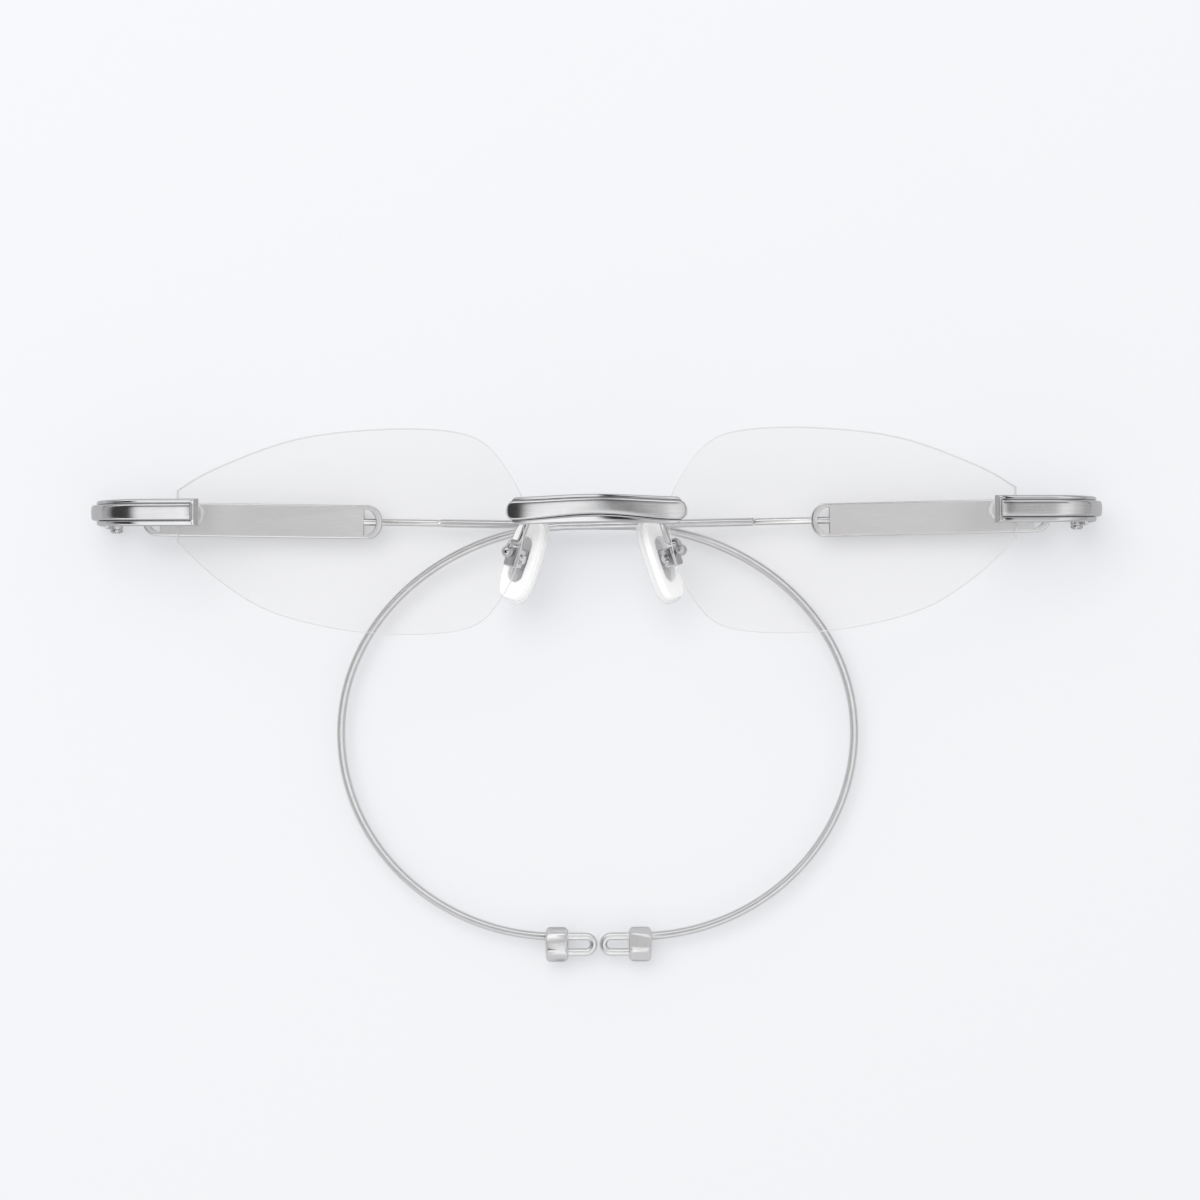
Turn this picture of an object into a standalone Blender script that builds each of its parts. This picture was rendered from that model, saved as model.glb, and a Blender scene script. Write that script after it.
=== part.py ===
"""Rimless glasses with cable ear hooks, lying folded on their back.

Metres, +Z up. +X is the wearer's width, +Y the brow, +Z the way the front faces.
The middle plane is X = 0 and the surface that the glasses lie on is Z = 0.
"""
import math

import bmesh
import bpy
from mathutils import Matrix, Vector

MM = 0.001
SIDES = {"left": -1, "right": 1}

# Lenses: spherical blanks edged to a leaf outline, the nose edge upright and the outer end cut off
LENS_WIDTH = 49.8 * MM
LENS_HEIGHT = 29.5 * MM
LENS_GAP = 20.6 * MM
LENS_THICKNESS = 1.8 * MM
LENS_CURVE_RADIUS = 260.0 * MM
LENS_CENTRE_DROP = 2.9 * MM
LENS_DRILL_CLEARANCE = 0.2 * MM
LENS_BLANK_MARGIN = 1.15
# Outline in halves of the width and height, x towards the nose. The first and last points are corners.
LENS_OUTLINE = [
    (-1.000, 0.413), (-0.787, 0.617), (-0.350, 0.888), (0.093, 0.990), (0.530, 0.986), (0.773, 0.854),
    (0.942, 0.485), (1.000, 0.183), (0.964, -0.290), (0.861, -0.658), (0.707, -0.915), (0.418, -0.997),
    (-0.016, -0.959), (-0.458, -0.773), (-0.767, -0.454), (-1.000, -0.088),
]

# Rolled band that the bridge and the endpieces are made of: a flat strip with a raised middle
BAND_HEIGHT = 3.9 * MM
STRIP_THICKNESS = 1.1 * MM
RAISED_HEIGHT = 2.2 * MM
RAISED_STEP = 0.8 * MM
STRIP_EDGE_ROUND = 0.35 * MM
RAISED_EDGE_ROUND = 0.15 * MM
BAND_SEAT_GAP = 0.25 * MM
BROW_Y = 26.87 * MM

# Bridge
BRIDGE_LAP = 2.55 * MM
BRIDGE_STRIP_SETBACK = 0.85 * MM
BRIDGE_BOW = 0.65 * MM
BRIDGE_ARCH = 0.5 * MM
BRIDGE_END_ROUND = 1.2 * MM
BRIDGE_STUD_INSET = 1.6 * MM

# Endpieces
ENDPIECE_LAP = 3.2 * MM
ENDPIECE_REACH = 12.9 * MM
ENDPIECE_BEND_RADIUS = 6.5 * MM
ENDPIECE_DEPTH = 13.15 * MM
ENDPIECE_STUD_INSET = 2.0 * MM
SHOULDER_THICKNESS = 0.8 * MM
SHOULDER_HEIGHT = 2.4 * MM
SHOULDER_DEPTH = 1.6 * MM
SHOULDER_GAP = 0.2 * MM

# Lens fasteners
STUD_RADIUS = 0.6 * MM
STUD_TAIL = 0.2 * MM
WASHER_THICKNESS = 0.5 * MM
WASHER_GAP = 0.2 * MM
ENDPIECE_WASHER_RADIUS = 1.7 * MM
BRIDGE_WASHER_RADIUS = 1.25 * MM
ENDPIECE_NUT_RADIUS = 1.4 * MM
BRIDGE_NUT_RADIUS = 1.15 * MM
STUD_NUT_THICKNESS = 1.2 * MM
STUD_NUT_GAP = 0.05 * MM
THREAD_CLEARANCE = 0.08 * MM

# Temple hinges: two front knuckles, one temple knuckle and a screw from below
HINGE_Z = 3.0 * MM
HINGE_DROP = 0.25 * MM
KNUCKLE_RADIUS = 0.9 * MM
KNUCKLE_FACE_GAP = 0.08 * MM
FRONT_KNUCKLE_LENGTH = 1.0 * MM
TEMPLE_KNUCKLE_LENGTH = 1.7 * MM
HINGE_ARM_GAP = 0.1 * MM
HINGE_LEAF_THICKNESS = 0.4 * MM
HINGE_LEAF_BELOW = 1.6 * MM
HINGE_LEAF_ABOVE = 4.4 * MM
HINGE_SCREW_RADIUS = 0.42 * MM
HINGE_BORE_CLEARANCE = 0.08 * MM
HINGE_SCREW_HEAD_RADIUS = 0.9 * MM
HINGE_SCREW_HEAD_HEIGHT = 0.5 * MM
HINGE_SCREW_TIP = 0.4 * MM
SCREW_SLOT_WIDTH = 0.3 * MM
SCREW_SLOT_DEPTH = 0.25 * MM

# Temples: a flat plate with a D-shaped window at both ends and a wire through each window
TEMPLE_LINE_DROP = 0.6 * MM
TEMPLE_SLOPE = math.radians(1.05)
TEMPLE_SHANK_LENGTH = 3.8 * MM
PLATE_LENGTH = 35.0 * MM
PLATE_HEIGHT = 4.92 * MM
PLATE_THICKNESS = 1.6 * MM
PLATE_EDGE_ROUND = 0.2 * MM
PLATE_END_ROUND = 2.1 * MM
WINDOW_WIDTH = 1.8 * MM
WINDOW_HEIGHT = 3.7 * MM
WINDOW_RIM = 0.86 * MM
TEMPLE_WIRE_RADIUS = 0.5 * MM
TEMPLE_WIRE_CLEARANCE = 0.08 * MM
TEMPLE_WIRE_SEAT = 1.5 * MM
BARE_WIRE_LENGTH = 8.2 * MM

# Ear hooks: a core wire in a close-wound spring, bent to two quarter ellipses that cross the middle
CORE_RADIUS = 0.34 * MM
CORE_CLEARANCE = 0.08 * MM
CORE_SEAT = 1.5 * MM
WINDING_RADIUS = 0.6 * MM
WINDING_END_GAP = 0.15 * MM
CROSSING_GAP = 0.2 * MM
HOOK_START_PAST_MIDDLE = 3.0 * MM
HOOK_HALF_WIDTH = 37.5 * MM
HOOK_UPPER_DROP = 30.2 * MM
HOOK_LOWER_DROP = 29.8 * MM
CROSSING_FLAT = 13.0 * MM
CROSSING_RAMP = 8.0 * MM

# Hook ends: a hexagon end nut with the cable off its centre, and a wire loop
END_NUT_LENGTH = 3.25 * MM
END_NUT_CORNER_RADIUS = 2.54 * MM
END_NUT_TURN = math.radians(15)
END_NUT_CHAMFER = 0.45 * MM
END_NUT_CABLE_SEAT = 1.7 * MM
END_NUT_SEAT_CLEARANCE = 0.1 * MM
LOOP_WIRE_RADIUS = 0.55 * MM
LOOP_BEND_RADIUS = 1.15 * MM
LOOP_REACH = 4.3 * MM
LOOP_SEAT = 1.0 * MM
LOOP_TIP_TO_MIDDLE = 0.15 * MM

# Nose pads: the left one is turned and set outwards more than the right one
PAD_LENGTH = 12.9 * MM
PAD_WIDTH = 6.6 * MM
PAD_THICKNESS = 2.1 * MM
PAD_EDGE_ROUND = 0.8 * MM
PAD_OUTLINE_POWER = 0.62
PAD_TILT = math.radians(18)
PAD_TURN = {"left": math.radians(50), "right": math.radians(36)}
PAD_SPREAD = {"left": 1.05 * MM, "right": 0.0}
PAD_BOX_PAST_LENS_EDGE = 0.3 * MM
PAD_BOX_DROP = 6.65 * MM
PAD_BOX_BEHIND_LENS = 2.5 * MM
PAD_BOX_DEPTH = 2.5 * MM
PAD_BOX_HEIGHT = 2.9 * MM
PAD_BOX_WIDTH = 2.2 * MM
PAD_BOX_WALL = 0.45 * MM
PAD_BOX_OVER_PAD = 1.9 * MM
PAD_LUG_RADIUS = 0.75 * MM
PAD_LUG_CLEARANCE = 0.15 * MM
PAD_SCREW_RADIUS = 0.4 * MM
PAD_SCREW_HEAD_RADIUS = 0.7 * MM
PAD_SCREW_HEAD_HEIGHT = 0.3 * MM
POCKET_LENGTH = 6.9 * MM
POCKET_WIDTH = 2.9 * MM
POCKET_FLOOR = 0.65 * MM
INSERT_THICKNESS = 0.5 * MM
INSERT_GAP = 0.08 * MM
PAD_ARM_RADIUS = 0.45 * MM
PAD_ARM_SEAT_GAP = 0.1 * MM
PAD_ARM_LENS_GAP = 0.9 * MM
PAD_ARM_FIRST_DROP = 0.585 * MM
# Bends behind the lens edge: way out from the seat, share of the pad's spread, drop, depth behind the lens
PAD_ARM_BENDS = [(0.18 * MM, 0.45, 0.99 * MM, 0.0), (0.9 * MM, 0.9, 1.89 * MM, 1.08 * MM)]
PAD_BALL_RADIUS = 0.75 * MM
PAD_BALL_RISE = 0.5 * MM

# Mesh fineness
FINE = 24
ROUND = 16
COARSE = 12
BRIDGE_STEPS = 14
STRIP_BEND_STEPS = 10
RAISED_BEND_STEPS = 11
LENS_BLANK_RINGS = 5
LENS_BLANK_STEPS = 32
HOOK_STEPS = 16
RAMP_STEPS = 5
WELD = 0.00001
SHARP_ANGLE = math.radians(35)
ROUNDING_ANGLE = math.radians(50)

# Sizes that follow from the ones above
NOSE_EDGE_X = LENS_GAP / 2
LENS_CENTRE_X = NOSE_EDGE_X + LENS_WIDTH / 2
LENS_CENTRE_Y = BROW_Y - LENS_CENTRE_DROP
HINGE_CENTRE_Y = BROW_Y - HINGE_DROP
TEMPLE_LINE_Y = BROW_Y - TEMPLE_LINE_DROP
PAD_BOX_Y = BROW_Y - PAD_BOX_DROP
TEMPLE_EDGE_X = NOSE_EDGE_X + LENS_WIDTH
BAND_THICKNESS = STRIP_THICKNESS + RAISED_STEP
BRIDGE_STUD_X = NOSE_EDGE_X + BRIDGE_STUD_INSET
ENDPIECE_STUD_X = TEMPLE_EDGE_X - ENDPIECE_STUD_INSET


def lens_sag(x, y):
    """How far the lens front lies behind its own middle at a place on it."""
    square = (x - LENS_CENTRE_X) ** 2 + (y - LENS_CENTRE_Y) ** 2
    return LENS_CURVE_RADIUS - math.sqrt(LENS_CURVE_RADIUS ** 2 - square)


LENS_FRONT_Z = ENDPIECE_DEPTH - BAND_SEAT_GAP + lens_sag(ENDPIECE_STUD_X, BROW_Y)
WASHER_FRONT_Z = ENDPIECE_DEPTH - BAND_SEAT_GAP - LENS_THICKNESS - WASHER_GAP
STUD_NUT_FRONT_Z = WASHER_FRONT_Z - WASHER_THICKNESS - STUD_NUT_GAP
STUD_END_Z = STUD_NUT_FRONT_Z - STUD_NUT_THICKNESS - STUD_TAIL
ARM_INNER_X = TEMPLE_EDGE_X + ENDPIECE_REACH - BAND_THICKNESS
HINGE_X = ARM_INNER_X - HINGE_ARM_GAP - KNUCKLE_RADIUS
HINGE_BORE_RADIUS = HINGE_SCREW_RADIUS + HINGE_BORE_CLEARANCE
PLATE_OUTER_X = HINGE_X - TEMPLE_SHANK_LENGTH
PLATE_INNER_X = PLATE_OUTER_X - PLATE_LENGTH
WINDOW_BASE = WINDOW_RIM + WINDOW_WIDTH
BARE_WIRE_END_X = PLATE_INNER_X - BARE_WIRE_LENGTH
CROSSING_OFFSET = WINDING_RADIUS + CROSSING_GAP / 2
BORE_IN_WINDING = CORE_RADIUS + CORE_CLEARANCE
END_NUT_INNER_X = LOOP_TIP_TO_MIDDLE + LOOP_REACH
END_NUT_OUTER_X = END_NUT_INNER_X + END_NUT_LENGTH
HOOK_END_X = END_NUT_OUTER_X - END_NUT_CABLE_SEAT
HOOK_Z = END_NUT_CORNER_RADIUS * math.cos(END_NUT_TURN)


def new_collection(name):
    collection = bpy.data.collections.new(name)
    bpy.context.scene.collection.children.link(collection)
    return collection


for old in list(bpy.data.objects):
    bpy.data.objects.remove(old)
PARTS = new_collection("rimless_glasses")
CUTTERS = new_collection("cutters")


def new_material(name, colour, roughness, metallic, alpha=1.0):
    material = bpy.data.materials.new(name)
    material.use_nodes = True
    shader = material.node_tree.nodes["Principled BSDF"]
    shader.inputs["Base Color"].default_value = (*colour, 1.0)
    shader.inputs["Roughness"].default_value = roughness
    shader.inputs["Metallic"].default_value = metallic
    shader.inputs["Alpha"].default_value = alpha
    return material


POLISHED_METAL = new_material("polished_metal", (0.80, 0.80, 0.82), 0.15, 1.0)
SATIN_METAL = new_material("satin_metal", (0.62, 0.62, 0.64), 0.40, 1.0)
SPRING_METAL = new_material("spring_metal", (0.66, 0.66, 0.68), 0.30, 1.0)
CLEAR_LENS = new_material("clear_lens", (0.92, 0.93, 0.94), 0.03, 0.0, 0.25)
CLEAR_PLASTIC = new_material("clear_plastic", (0.90, 0.90, 0.90), 0.15, 0.0, 0.5)
CLEAR_SILICONE = new_material("clear_silicone", (0.93, 0.94, 0.95), 0.25, 0.0, 0.5)


def new_body(name, location=(0.0, 0.0, 0.0)):
    """An empty that carries one rigid group, on the group's joint axis."""
    empty = bpy.data.objects.new(name, None)
    empty.location = location
    empty.empty_display_size = 0.005
    PARTS.objects.link(empty)
    return empty


def mirrored(matrix, side):
    """A place on the right side, or its mirror image on the left."""
    if side > 0:
        return matrix
    flip = Matrix.Scale(-1.0, 4, (1.0, 0.0, 0.0))
    return flip @ matrix @ flip


def on_side(point, side):
    return Vector((point[0] * side, point[1], point[2]))


def add_object(name, mesh, body, material=None):
    """Put a mesh given in world places under a body. Without a material it is a cutter."""
    mesh.transform(Matrix.Translation(-body.location))
    piece = bpy.data.objects.new(name, mesh)
    piece.parent = body
    if material is None:
        CUTTERS.objects.link(piece)
        piece.hide_render = True
        piece.display_type = "WIRE"
        return piece
    PARTS.objects.link(piece)
    mesh.materials.append(material)
    mesh.shade_smooth()
    mesh.set_sharp_from_angle(angle=SHARP_ANGLE)
    return piece


def finish_mesh(name, shape):
    """Turn a bmesh into a mesh with merged doubles and faces pointing out."""
    bmesh.ops.remove_doubles(shape, verts=shape.verts, dist=WELD)
    bmesh.ops.recalc_face_normals(shape, faces=shape.faces)
    mesh = bpy.data.meshes.new(name)
    shape.to_mesh(mesh)
    shape.free()
    return mesh


def box_mesh(name, low, high, place=None):
    shape = bmesh.new()
    centre = (Vector(low) + Vector(high)) / 2
    size = Vector(high) - Vector(low)
    sizing = Matrix.Diagonal((abs(size.x), abs(size.y), abs(size.z), 1.0))
    bmesh.ops.create_cube(shape, size=1.0, matrix=Matrix.Translation(centre) @ sizing)
    if place is not None:
        bmesh.ops.transform(shape, matrix=place, verts=shape.verts)
    return finish_mesh(name, shape)


def rod_mesh(name, start, end, radius, sides=ROUND, turn=0.0, chamfer=0.0):
    """A straight rod or prism between two points, its rims chamfered if asked."""
    shape = bmesh.new()
    start = Vector(start)
    axis = Vector(end) - start
    aim = axis.to_track_quat("Z", "Y").to_matrix().to_4x4()
    place = Matrix.Translation(start + axis / 2) @ aim @ Matrix.Rotation(turn, 4, "Z")
    bmesh.ops.create_cone(
        shape, cap_ends=True, segments=sides, radius1=radius, radius2=radius, depth=axis.length, matrix=place
    )
    if chamfer > 0:
        rims = [edge for edge in shape.edges if any(len(face.verts) > 4 for face in edge.link_faces)]
        bmesh.ops.bevel(shape, geom=rims, offset=chamfer, segments=2, profile=0.5, affect="EDGES")
    return finish_mesh(name, shape)


def curve_mesh(name, curve):
    """The closed mesh of a curve, its caps merged."""
    holder = bpy.data.objects.new(name, curve)
    bpy.context.scene.collection.objects.link(holder)
    bpy.context.view_layer.update()
    graph = bpy.context.evaluated_depsgraph_get()
    mesh = bpy.data.meshes.new_from_object(holder.evaluated_get(graph))
    mesh.transform(holder.matrix_world)
    bpy.data.objects.remove(holder)
    bpy.data.curves.remove(curve)
    mesh.materials.clear()
    shape = bmesh.new()
    shape.from_mesh(mesh)
    bpy.data.meshes.remove(mesh)
    return finish_mesh(name, shape)


def tube_mesh(name, points, radius, resolution=2):
    """A round wire along points."""
    curve = bpy.data.curves.new(name, "CURVE")
    curve.dimensions = "3D"
    curve.bevel_depth = radius
    curve.bevel_resolution = resolution
    curve.use_fill_caps = True
    spline = curve.splines.new("POLY")
    spline.points.add(len(points) - 1)
    for spot, point in zip(spline.points, points):
        spot.co = (*point, 1.0)
    return curve_mesh(name, curve)


def flat_mesh(name, outlines, thickness, edge_round=0.0, edge_steps=0):
    """A plate in the XY plane about Z = 0 from closed outlines, the later ones being windows."""
    curve = bpy.data.curves.new(name, "CURVE")
    curve.dimensions = "2D"
    curve.fill_mode = "BOTH"
    curve.extrude = thickness / 2 - edge_round
    curve.bevel_depth = edge_round
    curve.bevel_resolution = edge_steps
    curve.offset = -edge_round
    for outline in outlines:
        spline = curve.splines.new("POLY")
        spline.use_cyclic_u = True
        spline.points.add(len(outline) - 1)
        for spot, point in zip(spline.points, outline):
            spot.co = (point[0], point[1], 0.0, 1.0)
    return curve_mesh(name, curve)


def combine(piece, other, operation):
    """Join another solid to a piece, cut it out, or keep what both share."""
    modifier = piece.modifiers.new(other.name, "BOOLEAN")
    modifier.operation = operation
    modifier.solver = "EXACT"
    modifier.object = other


def round_edges(piece, width):
    modifier = piece.modifiers.new("rounded_edges", "BEVEL")
    modifier.width = width
    modifier.segments = 1
    modifier.limit_method = "ANGLE"
    modifier.angle_limit = ROUNDING_ANGLE


def ease(start, end, value):
    """0 before start, 1 past end, and a smooth step between."""
    share = min(max((value - start) / (end - start), 0.0), 1.0)
    return share * share * (3 - 2 * share)


def arc_points(centre, radius_x, radius_y, start_deg, end_deg, steps):
    points = []
    for step in range(steps + 1):
        angle = math.radians(start_deg + (end_deg - start_deg) * step / steps)
        points.append((centre[0] + radius_x * math.cos(angle), centre[1] + radius_y * math.sin(angle)))
    return points


def smooth_outline(points, steps):
    """Points of a smooth curve through the given ones, straight from the last back to the first."""
    ends = [points[0]] + points + [points[-1]]
    smooth = []
    for before, start, end, after in zip(ends, ends[1:], ends[2:], ends[3:]):
        for step in range(steps):
            t = step / steps
            smooth.append(tuple(
                0.5 * (2 * b + (c - a) * t + (2 * a - 5 * b + 4 * c - d) * t * t + (3 * b - a - 3 * c + d) * t ** 3)
                for a, b, c, d in zip(before, start, end, after)
            ))
    smooth.append(points[-1])
    return smooth


# Lenses

def make_lens(name, side, body):
    half_width, half_height = LENS_WIDTH / 2, LENS_HEIGHT / 2
    outline = [
        (side * (LENS_CENTRE_X - x * half_width), LENS_CENTRE_Y + y * half_height)
        for x, y in smooth_outline(LENS_OUTLINE, 3)
    ]
    blank_radius = LENS_BLANK_MARGIN * math.hypot(half_width, half_height)
    prism_height = 4 * LENS_THICKNESS + 2 * lens_sag(TEMPLE_EDGE_X, LENS_CENTRE_Y)
    prism = flat_mesh(name, [outline], prism_height)
    prism.transform(Matrix.Translation((0.0, 0.0, LENS_FRONT_Z)))
    lens = add_object(name, prism, body, CLEAR_LENS)

    profile = bpy.data.meshes.new(name + "_blank")
    front = []
    for ring in range(LENS_BLANK_RINGS + 1):
        reach = blank_radius * ring / LENS_BLANK_RINGS
        front.append((reach, 0.0, math.sqrt(LENS_CURVE_RADIUS ** 2 - reach ** 2)))
    back = [(x, y, z - LENS_THICKNESS) for x, y, z in reversed(front)]
    line = front + back
    profile.from_pydata(line, [(step, step + 1) for step in range(len(line) - 1)], [])
    profile.transform(Matrix.Translation((0.0, 0.0, -LENS_CURVE_RADIUS)))
    blank = add_object(name + "_blank", profile, body)
    blank.location = Vector((side * LENS_CENTRE_X, LENS_CENTRE_Y, LENS_FRONT_Z))
    turning = blank.modifiers.new("turning", "SCREW")
    turning.steps = LENS_BLANK_STEPS
    turning.render_steps = LENS_BLANK_STEPS
    turning.use_merge_vertices = True
    turning.merge_threshold = WELD
    combine(lens, blank, "INTERSECT")
    for label, x in (("bridge", BRIDGE_STUD_X), ("endpiece", ENDPIECE_STUD_X)):
        drill = rod_mesh(
            f"{name}_{label}_hole",
            (side * x, BROW_Y, LENS_FRONT_Z + LENS_THICKNESS),
            (side * x, BROW_Y, STUD_END_Z),
            STUD_RADIUS + LENS_DRILL_CLEARANCE,
        )
        combine(lens, add_object(drill.name, drill, body), "DIFFERENCE")
    return lens


# Rolled band

def offset_line(line, distance):
    """A line beside another in its plane, on its left going along it."""
    moved = []
    for index, point in enumerate(line):
        before = line[max(index - 1, 0)]
        after = line[min(index + 1, len(line) - 1)]
        along = Vector((after[0] - before[0], after[1] - before[1])).normalized()
        moved.append((point[0] - along.y * distance, point[1] + along.x * distance))
    return moved


def stand_up(mesh, y):
    """Turn a plate drawn in X and Z, lying in X and Y, upright at a height y."""
    mesh.transform(Matrix.Rotation(math.radians(90), 4, "X"))
    mesh.transform(Matrix.Translation((0.0, y, 0.0)))
    return mesh


def bridge_back(x, half_length):
    return ENDPIECE_DEPTH + BRIDGE_BOW * (1 - (x / half_length) ** 2)


def bridge_back_line(half, half_length):
    """The bridge's back from right to left, in X and Z."""
    places = [half * (1 - 2 * step / BRIDGE_STEPS) for step in range(BRIDGE_STEPS + 1)]
    return [(x, bridge_back(x, half_length)) for x in places]


def make_bridge(body):
    half_length = NOSE_EDGE_X + BRIDGE_LAP
    strip_half = half_length - BRIDGE_STRIP_SETBACK
    strip_back = bridge_back_line(strip_half, half_length)
    strip_front = offset_line(strip_back, -STRIP_THICKNESS)
    raised_half = half_length - BRIDGE_END_ROUND
    raised_back = bridge_back_line(raised_half, half_length)
    raised_front = offset_line(raised_back, -BAND_THICKNESS)
    end_drop = raised_front[0][1] - BRIDGE_END_ROUND
    foot = STRIP_EDGE_ROUND / 2
    foot_z = ENDPIECE_DEPTH + foot
    right_end = arc_points((raised_half, end_drop), BRIDGE_END_ROUND, BRIDGE_END_ROUND, 0, 90, 4)
    left_end = [(-x, z) for x, z in reversed(right_end)]
    raised_outline = (
        [(half_length, foot_z)] + right_end + raised_front[1:-1] + left_end
        + [(-half_length, foot_z)] + offset_line(raised_back, -foot)[::-1]
    )
    strip = flat_mesh("bridge", [strip_back + strip_front[::-1]], BAND_HEIGHT, STRIP_EDGE_ROUND, 1)
    raised = flat_mesh("bridge_raised", [raised_outline], RAISED_HEIGHT, RAISED_EDGE_ROUND)
    for mesh in (strip, raised):
        stand_up(mesh, BROW_Y)
        for vertex in mesh.vertices:
            vertex.co.y += BRIDGE_ARCH * 0.5 * (1 + math.cos(math.pi * vertex.co.x / half_length))
    bridge = add_object("bridge", strip, body, POLISHED_METAL)
    combine(bridge, add_object("bridge_raised", raised, body), "UNION")
    for label, side in SIDES.items():
        top = ENDPIECE_DEPTH + STRIP_THICKNESS / 2
        stud = rod_mesh(
            f"bridge_stud_{label}",
            (side * BRIDGE_STUD_X, BROW_Y, top),
            (side * BRIDGE_STUD_X, BROW_Y, STUD_END_Z),
            STUD_RADIUS,
        )
        combine(bridge, add_object(stud.name, stud, body), "UNION")
    return bridge


def endpiece_line(distance, bend_steps):
    """A line in X and Z at a distance in front of the endpiece's back, from its inner end to the arm's end."""
    bend = ENDPIECE_BEND_RADIUS - BAND_THICKNESS
    centre = (ARM_INNER_X - bend, ENDPIECE_DEPTH - bend)
    radius = bend + distance
    return (
        [(TEMPLE_EDGE_X - ENDPIECE_LAP, ENDPIECE_DEPTH + distance)]
        + arc_points(centre, radius, radius, 90, 0, bend_steps)
        + [(ARM_INNER_X + distance, 0.0)]
    )


def make_endpiece(name, side, body):
    strip_outline = endpiece_line(0.0, STRIP_BEND_STEPS) + endpiece_line(STRIP_THICKNESS, STRIP_BEND_STEPS)[::-1]
    raised_outline = (
        endpiece_line(STRIP_THICKNESS / 2, RAISED_BEND_STEPS)
        + endpiece_line(BAND_THICKNESS, RAISED_BEND_STEPS)[::-1]
    )
    strip = flat_mesh(name, [[(side * x, z) for x, z in strip_outline]], BAND_HEIGHT, STRIP_EDGE_ROUND, 1)
    raised = flat_mesh(
        name + "_raised", [[(side * x, z) for x, z in raised_outline]], RAISED_HEIGHT, RAISED_EDGE_ROUND
    )
    endpiece = add_object(name, stand_up(strip, BROW_Y), body, POLISHED_METAL)
    combine(endpiece, add_object(raised.name, stand_up(raised, BROW_Y), body), "UNION")
    top = ENDPIECE_DEPTH + STRIP_THICKNESS / 2
    stud = rod_mesh(
        name + "_stud",
        (side * ENDPIECE_STUD_X, BROW_Y, top),
        (side * ENDPIECE_STUD_X, BROW_Y, STUD_END_Z),
        STUD_RADIUS,
    )
    combine(endpiece, add_object(stud.name, stud, body), "UNION")
    shoulder_x = TEMPLE_EDGE_X + SHOULDER_GAP
    shoulder = box_mesh(
        name + "_shoulder",
        (side * shoulder_x, BROW_Y - SHOULDER_HEIGHT / 2, ENDPIECE_DEPTH - SHOULDER_DEPTH),
        (side * (shoulder_x + SHOULDER_THICKNESS), BROW_Y + SHOULDER_HEIGHT / 2, top),
    )
    combine(endpiece, add_object(shoulder.name, shoulder, body), "UNION")
    return endpiece


# Lens fasteners

def make_washer(name, x, radius, body):
    washer = rod_mesh(
        name, (x, BROW_Y, WASHER_FRONT_Z), (x, BROW_Y, WASHER_FRONT_Z - WASHER_THICKNESS), radius, FINE
    )
    piece = add_object(name, washer, body, CLEAR_PLASTIC)
    drill_stud_hole(piece, x, body)
    return piece


def make_stud_nut(name, x, radius, body):
    nut = rod_mesh(
        name,
        (x, BROW_Y, STUD_NUT_FRONT_Z),
        (x, BROW_Y, STUD_NUT_FRONT_Z - STUD_NUT_THICKNESS),
        radius,
        sides=6,
    )
    piece = add_object(name, nut, body, POLISHED_METAL)
    drill_stud_hole(piece, x, body)
    return piece


def drill_stud_hole(piece, x, body):
    hole = rod_mesh(
        piece.name + "_hole",
        (x, BROW_Y, WASHER_FRONT_Z + WASHER_GAP / 2),
        (x, BROW_Y, STUD_END_Z),
        STUD_RADIUS + THREAD_CLEARANCE,
    )
    combine(piece, add_object(hole.name, hole, body), "DIFFERENCE")


# Hinges

TEMPLE_KNUCKLE_HALF = TEMPLE_KNUCKLE_LENGTH / 2
FRONT_KNUCKLE_START = TEMPLE_KNUCKLE_HALF + KNUCKLE_FACE_GAP
FRONT_KNUCKLE_END = FRONT_KNUCKLE_START + FRONT_KNUCKLE_LENGTH


def hinge_rod(name, side, low, high, radius, sides=ROUND):
    x = side * HINGE_X
    return rod_mesh(name, (x, HINGE_CENTRE_Y + low, HINGE_Z), (x, HINGE_CENTRE_Y + high, HINGE_Z), radius, sides)


def make_front_hinge(name, side, body):
    leaf_outer = ARM_INNER_X - HINGE_ARM_GAP / 2
    leaf = box_mesh(
        name,
        (side * (leaf_outer - HINGE_LEAF_THICKNESS), HINGE_CENTRE_Y - FRONT_KNUCKLE_END, HINGE_Z - HINGE_LEAF_BELOW),
        (side * leaf_outer, HINGE_CENTRE_Y + FRONT_KNUCKLE_END, HINGE_Z + HINGE_LEAF_ABOVE),
    )
    hinge = add_object(name, leaf, body, SATIN_METAL)
    for label, low, high in (
        ("lower", -FRONT_KNUCKLE_END, -FRONT_KNUCKLE_START),
        ("upper", FRONT_KNUCKLE_START, FRONT_KNUCKLE_END),
    ):
        knuckle = hinge_rod(f"{name}_{label}_knuckle", side, low, high, KNUCKLE_RADIUS, FINE)
        combine(hinge, add_object(knuckle.name, knuckle, body), "UNION")
    room = hinge_rod(
        name + "_room", side, -FRONT_KNUCKLE_START, FRONT_KNUCKLE_START, KNUCKLE_RADIUS + KNUCKLE_FACE_GAP, FINE
    )
    combine(hinge, add_object(room.name, room, body), "DIFFERENCE")
    reach = 2 * FRONT_KNUCKLE_END
    bore = hinge_rod(name + "_bore", side, -reach, reach, HINGE_BORE_RADIUS)
    combine(hinge, add_object(bore.name, bore, body), "DIFFERENCE")
    return hinge


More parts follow.
